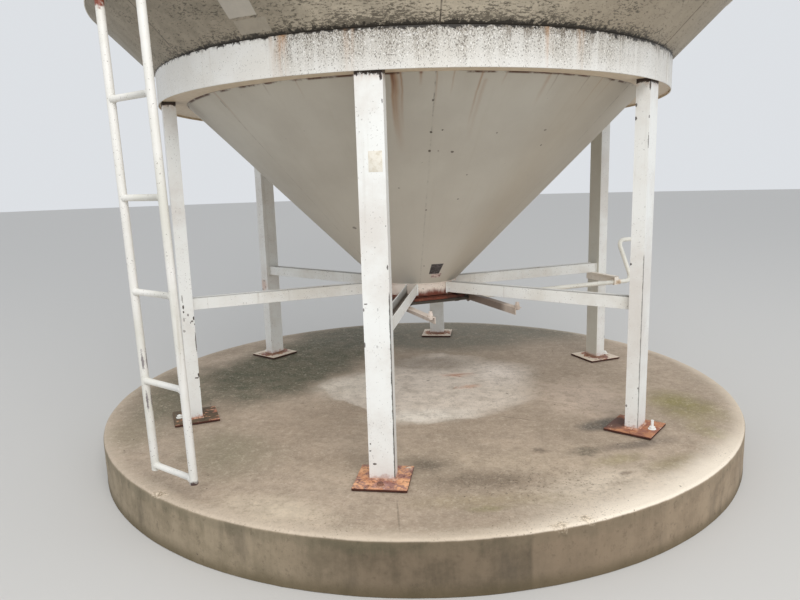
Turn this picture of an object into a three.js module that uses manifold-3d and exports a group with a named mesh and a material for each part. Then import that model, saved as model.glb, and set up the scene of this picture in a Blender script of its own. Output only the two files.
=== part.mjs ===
// Hopper-bottomed grain silo on six legs, on a round concrete pad.
// Millimetres, +Z up. The origin is the middle of the pad's underside.
// Heights of the steelwork are above the pad's top.
import * as THREE from "three";
import { mergeVertices } from "three/addons/utils/BufferGeometryUtils.js";
import Module from "manifold-3d";

const wasm = await Module();
wasm.setup();

// Driving dimensions
const LEGS = 6;
const GORES = 7;
const ROUND_STEPS = 84; // facets in a full turn, shared by every large round piece
const SEAT_GAP = 0.3; // left between pieces that touch
const SEAM_GAP_ANGLE = 0.0003; // radians left between sheets side by side

const PAD_RADIUS = 1977;
const PAD_HEIGHT = 254;
const PAD_EDGE_ROUND = 22;

const LEG_CIRCLE_RADIUS = 1463;
const FIRST_LEG_ANGLE = THREE.MathUtils.degToRad(-96.85);
const LEG_WIDTH = 120; // along the ring
const LEG_DEPTH = 70; // towards the middle
const BASE_PLATE_SIDE = 254;
const BASE_PLATE_THICKNESS = 14;

const CONE_APEX_HEIGHT = 467; // the 45 degree outer face is z = apex + r
const CONE_THICKNESS = 5;
const FIRST_GORE_ANGLE = THREE.MathUtils.degToRad(-85.5);
const WALL_RADIUS = 1829;
const WALL_THICKNESS = 4;
const COURSES = 2;
const COURSE_HEIGHT = 1829;
const SHEETS_PER_COURSE = 3;

const RING_RADIUS = 1516;
const RING_THICKNESS = 6;
const RING_BOTTOM = 1811;
const FLANGE_RISE = 11.5; // from the band's lower edge up to the flange

const HUB_RADIUS = 260;
const HUB_THICKNESS = 6;
const HUB_BOTTOM = 656;

const SPOKE_WIDTH = 66;
const SPOKE_HEIGHT = 66;
const SPOKE_THICKNESS = 5;

const ROOF_PITCH = THREE.MathUtils.degToRad(30);
const ROOF_THICKNESS = 4;
const ROOF_OVERHANG = 27;
const ROOF_PANELS = 4;
const FILL_RADIUS = 225;
const FILL_COLLAR_HEIGHT = 90;
const FILL_COLLAR_DROP = 20;
const FILL_COLLAR_THICKNESS = 5;
const LID_CLEARANCE = 8; // between the collar and the lid's skirt
const LID_THICKNESS = 4;
const LID_SKIRT = 34;
const LID_CROWN = 44;

// The slide gate runs out between the first two legs
const GATE_ANGLE = FIRST_LEG_ANGLE + Math.PI / LEGS;
const GATE_OPENING_HALF = 188;
const GATE_FRAME_HALF_LENGTH = 266;
const GATE_FRAME_THICKNESS = 5;
const GATE_PLATE_BACK = -262;
const GATE_PLATE_FRONT = 290;
const GATE_PLATE_THICKNESS = 5;
const GATE_PLATE_CLEARANCE = 5; // to the spacers beside the plate
const GATE_LIP_HALF_WIDTH = 210;
const GATE_LIP_HEIGHT = 19;
const GATE_LIP_THICKNESS = 6;
const RACK_WIDTH = 24;
const RACK_HEIGHT = 6;
const RAIL_TOP = 640;
const RAIL_INNER = 247; // from the middle to the web's inner face
const RAIL_THICKNESS = 5;
const RAIL_HEIGHT = 40;
const RAIL_WIDTH = 41; // of the level leg, which points outwards
const RAIL_BACK = -262;
const RAIL_FRONT = 825;
const SPACER_WIDTH = 8;
const STOP_BOLT_RADIUS = 15;
const STOP_BOLT_HEIGHT = 30;

// The crank shaft crosses under the gate plate and runs out past the third leg
const SHAFT_RADIUS = 12.7;
const SHAFT_OUT = 260; // from the silo's axis, along the gate's run
const SHAFT_START = -268;
const CRANK_PLANE = 1562; // from the silo's axis, along the shaft
const CRANK_LENGTH = 318;
const CRANK_LEAN = THREE.MathUtils.degToRad(-29.5);
const CRANK_BEND = 55;
const GRIP_LENGTH = 190;
const PINION_RADIUS = 17.5;
const PINION_WIDTH = 30;
const RACK_SPREAD = 165; // from the middle to each rack and pinion
const PINION_GAP = 0.8; // between a pinion and its rack
const BORE_RADIUS = 13.4;
const BEARING_HALF_LENGTH = 30;
const BEARING_BOTTOM = 590;
const BEARING_TOP = 634;
const BRACKET_HEIGHT = 60;
const BRACKET_DEPTH = 37;
const BRACKET_THICKNESS = 5;
const BRACKET_START = -70;
const BRACKET_END = 284;
const BUSH_RADIUS = 20;
const BUSH_LENGTH = 56;

// The ladder's lower length hangs from the upper one and leans a little
const LADDER_ANGLE = THREE.MathUtils.degToRad(-124.3);
const LADDER_FOOT_RADIUS = 1940;
const LADDER_LEAN_OUT = 0.0137; // run for each unit of height
const LADDER_LEAN_SIDE = -0.0101;
const LADDER_WIDTH = 275; // between the rails' middles
const LADDER_BOTTOM = 102;
const LADDER_JOINT = 2122;
const LADDER_TOP = 5920;
const LADDER_RAIL_RADIUS = 18;
const RUNG_RADIUS = 14;
const RUNG_STEP = 400;
const FIRST_RUNG = 24; // above the lower end of a length
const SLEEVE_RADIUS = 30;
const SLEEVE_LENGTH = 90;
const LADDER_BRACKETS = [2440, 4125, 5810];
const LADDER_BRACKET_HEIGHT = 50;
const LADDER_BRACKET_THICKNESS = 6;

// Sizes worked out from those
const STEP_ANGLE = (2 * Math.PI) / ROUND_STEPS;
const coneHeightAt = (radius) => CONE_APEX_HEIGHT + radius;
const CONE_UPRIGHT_THICKNESS = CONE_THICKNESS * Math.SQRT2;
const HUB_TOP = coneHeightAt(HUB_RADIUS);
const WALL_BOTTOM = coneHeightAt(WALL_RADIUS);
const WALL_TOP = WALL_BOTTOM + COURSES * (COURSE_HEIGHT + SEAT_GAP);
const LEG_BOTTOM = BASE_PLATE_THICKNESS + 2 * SEAT_GAP;
const FLANGE_BOTTOM = RING_BOTTOM + FLANGE_RISE;
const LEG_TOP = FLANGE_BOTTOM - SEAT_GAP;
const LEG_INNER_FACE = LEG_CIRCLE_RADIUS - LEG_DEPTH / 2;
const SPOKE_TOP = HUB_TOP - 1;
const SPOKE_BOTTOM = SPOKE_TOP - SPOKE_HEIGHT;
const GATE_FRAME_BOTTOM = HUB_BOTTOM - SEAT_GAP - GATE_FRAME_THICKNESS;
const RAIL_BOTTOM = RAIL_TOP - RAIL_HEIGHT;
const RAIL_OUTER = RAIL_INNER + RAIL_WIDTH;
const GATE_PLATE_BOTTOM = RAIL_TOP + SEAT_GAP;
const GATE_PLATE_TOP = GATE_PLATE_BOTTOM + GATE_PLATE_THICKNESS;
const RACK_BOTTOM = GATE_PLATE_BOTTOM - RACK_HEIGHT;
const SHAFT_HEIGHT = RACK_BOTTOM - PINION_GAP - PINION_RADIUS;
const LADDER_LENGTH_BELOW = LADDER_JOINT - LADDER_BOTTOM;
const LADDER_UPPER_RADIUS = LADDER_FOOT_RADIUS + LADDER_LEAN_OUT * LADDER_LENGTH_BELOW;
const LADDER_UPPER_SIDE = LADDER_LEAN_SIDE * LADDER_LENGTH_BELOW;
const roofUndersideAt = (radius) =>
  WALL_TOP + SEAT_GAP + (WALL_RADIUS - radius) * Math.tan(ROOF_PITCH);
const ROOF_UPRIGHT_THICKNESS = ROOF_THICKNESS / Math.cos(ROOF_PITCH);

// Finishes
const finish = (color, roughness, metalness = 0) => () =>
  new THREE.MeshStandardMaterial({ color, roughness, metalness });
const whitePaint = finish(0xe6e6e0, 0.5);
const wallPaint = finish(0xd2cdc0, 0.55);
const hopperPaint = finish(0x98907f, 0.6);
const rustedSteel = finish(0x9c6a48, 0.8, 0.2);
const darkSteel = finish(0x4a2f26, 0.7, 0.3);
const concrete = finish(0xab9f8d, 0.9);

// A closed outline from a list of [x, y] points
function outline(points) {
  return new THREE.Shape(points.map(([x, y]) => new THREE.Vector2(x, y)));
}

// A box between two opposite corners
function boxBetween([x0, y0, z0], [x1, y1, z1]) {
  const box = new THREE.BoxGeometry(x1 - x0, y1 - y0, z1 - z0);
  return box.translate((x0 + x1) / 2, (y0 + y1) / 2, (z0 + z1) / 2);
}

// A cylinder along Z from one height to another
function postBetween(radius, z0, z1, sides = 16) {
  const post = new THREE.CylinderGeometry(radius, radius, z1 - z0, sides);
  return post.rotateX(Math.PI / 2).translate(0, 0, (z0 + z1) / 2);
}

// A full ring: a closed [radius, height] profile turned about Z, facets starting at an angle
function turned(profile, startAngle = FIRST_GORE_ANGLE, steps = ROUND_STEPS) {
  const points = profile.map(([r, z]) => new THREE.Vector2(r, z));
  return new THREE.LatheGeometry(points, steps)
    .rotateX(Math.PI / 2)
    .rotateZ(startAngle + Math.PI / 2);
}

// A ring's profile ends where it starts
const closed = (profile) => [...profile, profile[0]];

// A curved sheet: a [radius, height] profile bent round Z over a number of facets.
// The profile is extruded by the sheet's angle, and that depth is then wound round the axis.
function sheet(profile, startAngle, steps) {
  const span = steps * STEP_ANGLE - SEAM_GAP_ANGLE;
  const flat = new THREE.ExtrudeGeometry(outline(profile), {
    depth: span,
    steps,
    bevelEnabled: false,
  });
  const at = flat.getAttribute("position");
  const endAngle = startAngle + span + SEAM_GAP_ANGLE / 2;
  for (let i = 0; i < at.count; i++) {
    const radius = at.getX(i);
    const angle = endAngle - at.getZ(i);
    at.setXYZ(i, radius * Math.cos(angle), radius * Math.sin(angle), at.getY(i));
  }
  return flat;
}

// Joining and cutting
function toSolid(geometry) {
  const bare = new THREE.BufferGeometry();
  bare.setAttribute("position", geometry.getAttribute("position"));
  if (geometry.index) bare.setIndex(geometry.index);
  const merged = mergeVertices(bare, 1e-3);
  return new wasm.Manifold(
    new wasm.Mesh({
      numProp: 3,
      vertProperties: new Float32Array(merged.getAttribute("position").array),
      triVerts: new Uint32Array(merged.index.array),
    }),
  );
}

function toGeometry(solid) {
  const mesh = solid.getMesh();
  return new THREE.BufferGeometry()
    .setAttribute("position", new THREE.BufferAttribute(mesh.vertProperties, 3))
    .setIndex(new THREE.BufferAttribute(mesh.triVerts, 1));
}

function joined(geometries) {
  return toGeometry(geometries.map(toSolid).reduce((a, b) => a.add(b)));
}

function cut(geometry, ...tools) {
  return toGeometry(tools.map(toSolid).reduce((a, b) => a.subtract(b), toSolid(geometry)));
}

const silo = new THREE.Group();
silo.name = "grain_silo";
const steelwork = new THREE.Group();
steelwork.position.z = PAD_HEIGHT;
silo.add(steelwork);

function add(name, geometry, material, parent = steelwork) {
  const mesh = new THREE.Mesh(geometry, material());
  mesh.name = name;
  parent.add(mesh);
  return mesh;
}

// A group turned about Z: its +X points away from the axis at that angle
function spokeFrame(angle) {
  const frame = new THREE.Group();
  frame.rotation.z = angle;
  steelwork.add(frame);
  return frame;
}

// Pad
function padGeometry() {
  const edge = [];
  for (let i = 0; i <= 4; i++) {
    const turn = (i / 4) * (Math.PI / 2);
    edge.push([
      PAD_RADIUS - PAD_EDGE_ROUND + PAD_EDGE_ROUND * Math.cos(turn),
      PAD_HEIGHT - PAD_EDGE_ROUND + PAD_EDGE_ROUND * Math.sin(turn),
    ]);
  }
  return turned([[0, 0], [PAD_RADIUS, 0], ...edge, [0, PAD_HEIGHT]]);
}
add("concrete_pad", padGeometry(), concrete, silo);

// Legs, their base plates, and the spokes that tie them to the hub
function spokeGeometry() {
  const half = SPOKE_WIDTH / 2;
  const inside = half - SPOKE_THICKNESS;
  const channel = outline([
    [-half, 0],
    [half, 0],
    [half, SPOKE_HEIGHT],
    [inside, SPOKE_HEIGHT],
    [inside, SPOKE_THICKNESS],
    [-inside, SPOKE_THICKNESS],
    [-inside, SPOKE_HEIGHT],
    [-half, SPOKE_HEIGHT],
  ]);
  const start = HUB_RADIUS + SEAT_GAP;
  const depth = LEG_INNER_FACE - SEAT_GAP - start;
  return new THREE.ExtrudeGeometry(channel, { depth, bevelEnabled: false })
    .rotateX(Math.PI / 2)
    .rotateZ(Math.PI / 2)
    .translate(start, 0, SPOKE_BOTTOM);
}

for (let i = 0; i < LEGS; i++) {
  const frame = spokeFrame(FIRST_LEG_ANGLE + (i * 2 * Math.PI) / LEGS);
  const plate = new THREE.BoxGeometry(BASE_PLATE_SIDE, BASE_PLATE_SIDE, BASE_PLATE_THICKNESS);
  plate.translate(LEG_CIRCLE_RADIUS, 0, SEAT_GAP + BASE_PLATE_THICKNESS / 2);
  add(`base_plate_${i + 1}`, plate, rustedSteel, frame);
  const leg = new THREE.BoxGeometry(LEG_DEPTH, LEG_WIDTH, LEG_TOP - LEG_BOTTOM);
  leg.translate(LEG_CIRCLE_RADIUS, 0, (LEG_TOP + LEG_BOTTOM) / 2);
  add(`leg_${i + 1}`, leg, whitePaint, frame);
  add(`spoke_${i + 1}`, spokeGeometry(), whitePaint, frame);
}

// Ring girder: an upright band with a flat flange that runs in to the hopper. The legs'
// heads stand inside the band, under the flange.
function ringGeometry() {
  const bandInner = RING_RADIUS - RING_THICKNESS;
  const bandTop = coneHeightAt(bandInner) - SEAT_GAP;
  const flangeTop = FLANGE_BOTTOM + RING_THICKNESS;
  const hopperRadiusAt = (z) => z - CONE_APEX_HEIGHT + SEAT_GAP;
  return turned(
    closed([
      [hopperRadiusAt(FLANGE_BOTTOM), FLANGE_BOTTOM],
      [bandInner, FLANGE_BOTTOM],
      [bandInner, RING_BOTTOM],
      [RING_RADIUS, RING_BOTTOM],
      [RING_RADIUS, bandTop],
      [bandInner, bandTop],
      [bandInner, flangeTop],
      [hopperRadiusAt(flangeTop), flangeTop],
    ]),
  );
}
add("ring_girder", ringGeometry(), whitePaint);

// Hopper gores, from the hub up to the wall
const GORE_STEPS = ROUND_STEPS / GORES;
const goreProfile = [
  [HUB_RADIUS + SEAT_GAP, HUB_TOP + SEAT_GAP],
  [WALL_RADIUS, WALL_BOTTOM],
  [WALL_RADIUS - CONE_UPRIGHT_THICKNESS, WALL_BOTTOM],
  [HUB_RADIUS + SEAT_GAP - CONE_UPRIGHT_THICKNESS, HUB_TOP + SEAT_GAP],
];
for (let i = 0; i < GORES; i++) {
  const start = FIRST_GORE_ANGLE + i * GORE_STEPS * STEP_ANGLE;
  add(`hopper_gore_${i + 1}`, sheet(goreProfile, start, GORE_STEPS), hopperPaint);
}

// Wall: two courses of three sheets, with the upright seams half a sheet apart
const SHEET_STEPS = ROUND_STEPS / SHEETS_PER_COURSE;
for (let course = 0; course < COURSES; course++) {
  const bottom = WALL_BOTTOM + SEAT_GAP + course * (COURSE_HEIGHT + SEAT_GAP);
  const inner = WALL_RADIUS - WALL_THICKNESS;
  const profile = [
    [inner, bottom],
    [WALL_RADIUS, bottom],
    [WALL_RADIUS, bottom + COURSE_HEIGHT],
    [inner, bottom + COURSE_HEIGHT],
  ];
  for (let i = 0; i < SHEETS_PER_COURSE; i++) {
    const stepsRound = i * SHEET_STEPS + (course * SHEET_STEPS) / 2;
    const start = FIRST_GORE_ANGLE + stepsRound * STEP_ANGLE;
    add(`wall_${course + 1}_sheet_${i + 1}`, sheet(profile, start, SHEET_STEPS), wallPaint);
  }
}

// Roof: four panels up to a fill collar, and its lid
const ROOF_STEPS = ROUND_STEPS / ROOF_PANELS;
const EAVE_RADIUS = WALL_RADIUS + ROOF_OVERHANG;
const roofProfile = [
  [FILL_RADIUS, roofUndersideAt(FILL_RADIUS)],
  [EAVE_RADIUS, roofUndersideAt(EAVE_RADIUS)],
  [EAVE_RADIUS, roofUndersideAt(EAVE_RADIUS) + ROOF_UPRIGHT_THICKNESS],
  [FILL_RADIUS, roofUndersideAt(FILL_RADIUS) + ROOF_UPRIGHT_THICKNESS],
];
for (let i = 0; i < ROOF_PANELS; i++) {
  const start = FIRST_GORE_ANGLE + i * ROOF_STEPS * STEP_ANGLE;
  add(`roof_panel_${i + 1}`, sheet(roofProfile, start, ROOF_STEPS), wallPaint);
}

const COLLAR_OUTER = FILL_RADIUS - SEAT_GAP;
const COLLAR_INNER = COLLAR_OUTER - FILL_COLLAR_THICKNESS;
const COLLAR_BOTTOM = roofUndersideAt(FILL_RADIUS) - FILL_COLLAR_DROP;
const COLLAR_TOP = roofUndersideAt(FILL_RADIUS) + FILL_COLLAR_HEIGHT;
add(
  "fill_collar",
  turned(
    closed([
      [COLLAR_INNER, COLLAR_BOTTOM],
      [COLLAR_OUTER, COLLAR_BOTTOM],
      [COLLAR_OUTER, COLLAR_TOP],
      [COLLAR_INNER, COLLAR_TOP],
    ]),
  ),
  whitePaint,
);

// A shallow cone with a skirt outside the collar. Its underside rests on the collar's outer edge.
function lidGeometry() {
  const skirtInner = COLLAR_OUTER + LID_CLEARANCE;
  const skirtOuter = skirtInner + LID_THICKNESS;
  const fall = LID_CROWN / skirtInner;
  const corner = COLLAR_TOP + SEAT_GAP - fall * LID_CLEARANCE;
  return turned([
    [0, corner + LID_CROWN],
    [skirtInner, corner],
    [skirtInner, corner - LID_SKIRT],
    [skirtOuter, corner - LID_SKIRT],
    [skirtOuter, corner + LID_THICKNESS],
    [0, corner + LID_CROWN + LID_THICKNESS],
  ]);
}
add("fill_lid", lidGeometry(), whitePaint);

// Outlet hub under the hopper
add(
  "outlet_hub",
  turned(
    closed([
      [HUB_RADIUS - HUB_THICKNESS, HUB_BOTTOM],
      [HUB_RADIUS, HUB_BOTTOM],
      [HUB_RADIUS, HUB_TOP],
      [HUB_RADIUS - HUB_THICKNESS, HUB_TOP],
    ]),
  ),
  rustedSteel,
);

// Slide gate: in this frame +X is the way the plate opens and +Y runs along the shaft
const gate = spokeFrame(GATE_ANGLE);

function gateFrameGeometry() {
  const top = GATE_FRAME_BOTTOM + GATE_FRAME_THICKNESS;
  const plate = boxBetween(
    [-GATE_FRAME_HALF_LENGTH, -RAIL_OUTER, GATE_FRAME_BOTTOM],
    [GATE_FRAME_HALF_LENGTH, RAIL_OUTER, top],
  );
  const opening = boxBetween(
    [-GATE_OPENING_HALF, -GATE_OPENING_HALF, GATE_FRAME_BOTTOM - 1],
    [GATE_OPENING_HALF, GATE_OPENING_HALF, top + 1],
  );
  return cut(plate, opening);
}
add("gate_frame", gateFrameGeometry(), darkSteel, gate);

// The bore that the shaft turns in, as a cutter along Y
function shaftBore() {
  return new THREE.CylinderGeometry(BORE_RADIUS, BORE_RADIUS, 4 * CRANK_PLANE, 32).translate(
    SHAFT_OUT,
    0,
    SHAFT_HEIGHT,
  );
}

// One rail: an angle with its level leg outwards, which the plate slides on, hung from the
// frame by a spacer, with a shaft bearing on its web and an end stop
function railGeometry(side) {
  const across = (a, b) => (side > 0 ? [a, b] : [-b, -a]);
  const bar = (x0, x1, y, z0, z1) => boxBetween([x0, y[0], z0], [x1, y[1], z1]);
  const web = across(RAIL_INNER, RAIL_INNER + RAIL_THICKNESS);
  const level = across(RAIL_INNER, RAIL_OUTER);
  const spacer = across(RAIL_OUTER - SPACER_WIDTH, RAIL_OUTER);
  const bearing = across(RAIL_INNER - RAIL_THICKNESS, RAIL_INNER + 1);
  const levelBottom = RAIL_TOP - RAIL_THICKNESS;
  const bearingBack = SHAFT_OUT - BEARING_HALF_LENGTH;
  const bearingFront = SHAFT_OUT + BEARING_HALF_LENGTH;
  const stopBottom = levelBottom + 1;
  const stop = postBetween(STOP_BOLT_RADIUS, stopBottom, RAIL_TOP + STOP_BOLT_HEIGHT, 6);
  stop.translate(RAIL_FRONT - STOP_BOLT_RADIUS, side * (RAIL_OUTER - STOP_BOLT_RADIUS - 3), 0);
  const rail = joined([
    bar(RAIL_BACK, RAIL_FRONT, web, RAIL_BOTTOM, RAIL_TOP),
    bar(RAIL_BACK, RAIL_FRONT, level, levelBottom, RAIL_TOP),
    bar(RAIL_BACK, GATE_FRAME_HALF_LENGTH, spacer, levelBottom, GATE_FRAME_BOTTOM - SEAT_GAP),
    bar(bearingBack, bearingFront, bearing, BEARING_BOTTOM, BEARING_TOP),
    stop,
  ]);
  return cut(rail, shaftBore());
}
add("gate_rail_left", railGeometry(-1), whitePaint, gate);
add("gate_rail_right", railGeometry(1), whitePaint, gate);

// The plate, with a rack under each side and a lip that hangs from its front edge
function gatePlateGeometry() {
  const halfWidth = RAIL_OUTER - SPACER_WIDTH - GATE_PLATE_CLEARANCE;
  const lipBack = GATE_PLATE_FRONT - GATE_LIP_THICKNESS;
  const rack = (y) =>
    boxBetween(
      [GATE_PLATE_BACK, y - RACK_WIDTH / 2, RACK_BOTTOM],
      [GATE_PLATE_FRONT, y + RACK_WIDTH / 2, GATE_PLATE_TOP],
    );
  return joined([
    boxBetween(
      [GATE_PLATE_BACK, -halfWidth, GATE_PLATE_BOTTOM],
      [GATE_PLATE_FRONT, halfWidth, GATE_PLATE_TOP],
    ),
    boxBetween(
      [lipBack, -GATE_LIP_HALF_WIDTH, GATE_PLATE_TOP - GATE_LIP_HEIGHT],
      [GATE_PLATE_FRONT, GATE_LIP_HALF_WIDTH, GATE_PLATE_TOP],
    ),
    rack(-RACK_SPREAD),
    rack(RACK_SPREAD),
  ]);
}
add("gate_plate", gatePlateGeometry(), darkSteel, gate);

// A path through listed points, for a tube with one section at each point
class PointPath extends THREE.Curve {
  constructor(points) {
    super();
    this.points = points;
  }
  getPointAt(t) {
    return this.points[Math.round(t * (this.points.length - 1))].clone();
  }
  getTangentAt(t) {
    const last = this.points.length - 1;
    const i = Math.round(t * last);
    const before = this.points[Math.max(i - 1, 0)];
    const after = this.points[Math.min(i + 1, last)];
    return after.clone().sub(before).normalize();
  }
}

// Straight runs between corners, with each corner rounded as a quarter-turn bend
function bentPoints(corners, bend, pointsPerBend = 7) {
  const points = [corners[0]];
  for (let i = 1; i < corners.length - 1; i++) {
    const corner = corners[i];
    const back = corners[i - 1].clone().sub(corner).setLength(bend).add(corner);
    const on = corners[i + 1].clone().sub(corner).setLength(bend).add(corner);
    const centre = back.clone().add(on).sub(corner);
    for (let k = 0; k < pointsPerBend; k++) {
      const turn = (k / (pointsPerBend - 1)) * (Math.PI / 2);
      const across = back.clone().sub(centre).multiplyScalar(Math.cos(turn));
      const along = on.clone().sub(centre).multiplyScalar(Math.sin(turn));
      points.push(centre.clone().add(across).add(along));
    }
  }
  points.push(corners[corners.length - 1]);
  return points;
}

// Crank: shaft with its two pinions, bent up into an arm and out again into the grip
function crankGeometry() {
  const start = new THREE.Vector3(SHAFT_OUT, SHAFT_START, SHAFT_HEIGHT);
  const elbow = new THREE.Vector3(SHAFT_OUT, CRANK_PLANE, SHAFT_HEIGHT);
  const arm = new THREE.Vector3(Math.sin(CRANK_LEAN), 0, Math.cos(CRANK_LEAN));
  const top = elbow.clone().addScaledVector(arm, CRANK_LENGTH);
  const end = top.clone().add(new THREE.Vector3(0, GRIP_LENGTH, 0));
  const points = bentPoints([start, elbow, top, end], CRANK_BEND);
  const section = new THREE.Shape().absarc(0, 0, SHAFT_RADIUS, 0, 2 * Math.PI);
  const pipe = new THREE.ExtrudeGeometry(section, {
    extrudePath: new PointPath(points),
    steps: points.length - 1,
    curveSegments: 12,
  });
  const pinion = (y) =>
    new THREE.CylinderGeometry(PINION_RADIUS, PINION_RADIUS, PINION_WIDTH, 24).translate(
      SHAFT_OUT,
      y,
      SHAFT_HEIGHT,
    );
  return joined([pipe, pinion(-RACK_SPREAD), pinion(RACK_SPREAD)]);
}
add("gate_crank", crankGeometry(), whitePaint, gate);

// Channel bracket on the third leg that carries the shaft's outer end
function crankBracketGeometry() {
  const back = LEG_INNER_FACE - SEAT_GAP;
  const front = back - BRACKET_DEPTH;
  const top = SPOKE_BOTTOM - SEAT_GAP;
  const bottom = top - BRACKET_HEIGHT;
  const web = boxBetween([BRACKET_START, back - BRACKET_THICKNESS, bottom], [BRACKET_END, back, top]);
  const flange = boxBetween([BRACKET_START, front, top - BRACKET_THICKNESS], [BRACKET_END, back, top]);
  const endPlate = boxBetween([BRACKET_END - BRACKET_THICKNESS, front, bottom], [BRACKET_END, back, top]);
  const bush = new THREE.CylinderGeometry(BUSH_RADIUS, BUSH_RADIUS, BUSH_LENGTH, 24);
  bush.translate(SHAFT_OUT, back - BRACKET_THICKNESS / 2, SHAFT_HEIGHT);
  return cut(joined([web, flange, endPlate, bush]), shaftBore());
}
add("crank_bracket", crankBracketGeometry(), whitePaint, gate);

// Ladder: pipe rails and round rungs, in two lengths that sleeves join
const ladder = spokeFrame(LADDER_ANGLE);

// Moves a solid of the lower length, drawn upright, to its lean
function leaned(geometry) {
  const at = geometry.getAttribute("position");
  for (let i = 0; i < at.count; i++) {
    const height = at.getZ(i) - LADDER_BOTTOM;
    at.setX(i, at.getX(i) + LADDER_LEAN_OUT * height);
    at.setY(i, at.getY(i) + LADDER_LEAN_SIDE * height);
  }
  return geometry;
}

function ladderLength(radius, side, bottom, top, extras = []) {
  const half = LADDER_WIDTH / 2;
  const rail = (y) => postBetween(LADDER_RAIL_RADIUS, bottom, top, 12).translate(radius, side + y, 0);
  const rungs = [];
  for (let z = bottom + FIRST_RUNG; z < top - FIRST_RUNG; z += RUNG_STEP) {
    const rung = new THREE.CylinderGeometry(RUNG_RADIUS, RUNG_RADIUS, LADDER_WIDTH, 8);
    rungs.push(rung.translate(radius, side, z));
  }
  return joined([rail(-half), rail(half), ...rungs, ...extras]);
}

// A sleeve round each rail just above the joint
function sleeves() {
  return [-LADDER_WIDTH / 2, LADDER_WIDTH / 2].map((y) =>
    postBetween(SLEEVE_RADIUS, LADDER_JOINT, LADDER_JOINT + SLEEVE_LENGTH, 16).translate(
      LADDER_UPPER_RADIUS,
      LADDER_UPPER_SIDE + y,
      0,
    ),
  );
}
const lowerTop = LADDER_JOINT - SEAT_GAP;
add(
  "ladder_lower",
  leaned(ladderLength(LADDER_FOOT_RADIUS, 0, LADDER_BOTTOM, lowerTop)),
  whitePaint,
  ladder,
);
add(
  "ladder_upper",
  ladderLength(LADDER_UPPER_RADIUS, LADDER_UPPER_SIDE, LADDER_JOINT, LADDER_TOP, sleeves()),
  whitePaint,
  ladder,
);

// Ladder brackets: a strap on the wall with an arm out to each rail
function ladderBracketGeometry(height) {
  const half = LADDER_WIDTH / 2;
  const low = height - LADDER_BRACKET_HEIGHT / 2;
  const high = height + LADDER_BRACKET_HEIGHT / 2;
  const wall = WALL_RADIUS + SEAT_GAP;
  const armEnd = LADDER_UPPER_RADIUS - LADDER_RAIL_RADIUS - SEAT_GAP;
  const left = LADDER_UPPER_SIDE - half;
  const right = LADDER_UPPER_SIDE + half;
  const strap = boxBetween([wall, left, low], [wall + LADDER_BRACKET_THICKNESS, right, high]);
  const arm = (y) =>
    boxBetween(
      [wall, y - LADDER_BRACKET_THICKNESS / 2, low],
      [armEnd, y + LADDER_BRACKET_THICKNESS / 2, high],
    );
  return joined([strap, arm(left), arm(right)]);
}
LADDER_BRACKETS.forEach((height, i) => {
  add(`ladder_bracket_${i + 1}`, ladderBracketGeometry(height), whitePaint, ladder);
});

export default silo;
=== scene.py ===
# A hopper-bottomed grain silo on six legs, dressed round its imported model.
import math

import bmesh
import bpy
from mathutils import Matrix, Vector


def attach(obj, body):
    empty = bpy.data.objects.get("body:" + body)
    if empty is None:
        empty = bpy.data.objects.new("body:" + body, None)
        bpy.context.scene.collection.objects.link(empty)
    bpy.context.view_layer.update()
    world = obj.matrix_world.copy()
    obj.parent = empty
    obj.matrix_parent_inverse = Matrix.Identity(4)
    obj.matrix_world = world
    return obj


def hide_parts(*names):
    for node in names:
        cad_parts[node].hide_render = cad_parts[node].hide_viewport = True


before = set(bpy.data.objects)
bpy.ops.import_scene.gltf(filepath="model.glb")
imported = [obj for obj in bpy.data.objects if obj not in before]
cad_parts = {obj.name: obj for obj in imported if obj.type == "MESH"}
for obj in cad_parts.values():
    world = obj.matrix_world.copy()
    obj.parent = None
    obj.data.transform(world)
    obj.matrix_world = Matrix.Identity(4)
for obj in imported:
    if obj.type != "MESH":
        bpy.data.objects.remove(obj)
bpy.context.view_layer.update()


# Pad
# A round slab of poured concrete with its top edge rounded by hand, cast in a ring form.
# Its top is stained where water drips and lies, and pale where the silo keeps it dry. Painted shade
# darkens it at the back under the silo, and painted light brightens the rim and places in the silo's
# shadow.
PAD_RADIUS = 1.977
PAD_TOP = 0.254
PAD_ROUNDING = 0.022
TURN_STEPS = 252
FULL_TURN = 2 * math.pi


def drawn(name, points):
    """A line drawn from point to point: one vertex, extruded along. Left in edit mode."""
    bpy.ops.object.select_all(action="DESELECT")
    bpy.ops.mesh.primitive_plane_add(size=0.01, location=points[0])
    piece = settled(name)
    bpy.ops.object.mode_set(mode="EDIT")
    bpy.ops.mesh.select_mode(type="VERT")
    bpy.ops.mesh.select_all(action="SELECT")
    bpy.ops.mesh.merge(type="CENTER")
    for before, after in zip(points, points[1:]):
        step = Vector(after) - Vector(before)
        bpy.ops.mesh.extrude_region_move(TRANSFORM_OT_translate={"value": step})
    bpy.ops.mesh.select_all(action="SELECT")
    bpy.ops.mesh.remove_doubles(threshold=0.00001)
    return piece


def settled(name=None):
    """Writes the active object's place and turn into its mesh, names it and gives it."""
    bpy.ops.object.transform_apply(location=True, rotation=True, scale=True)
    piece = bpy.context.object
    piece.name = name or piece.name
    return piece


def tidied(smooth_below=35):
    """Merges doubles, points the faces outwards, and leaves edit mode."""
    bpy.ops.mesh.select_all(action="SELECT")
    bpy.ops.mesh.remove_doubles(threshold=0.00001)
    bpy.ops.mesh.normals_make_consistent(inside=False)
    bpy.ops.object.mode_set(mode="OBJECT")
    bpy.ops.object.shade_smooth_by_angle(angle=math.radians(smooth_below))


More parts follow.
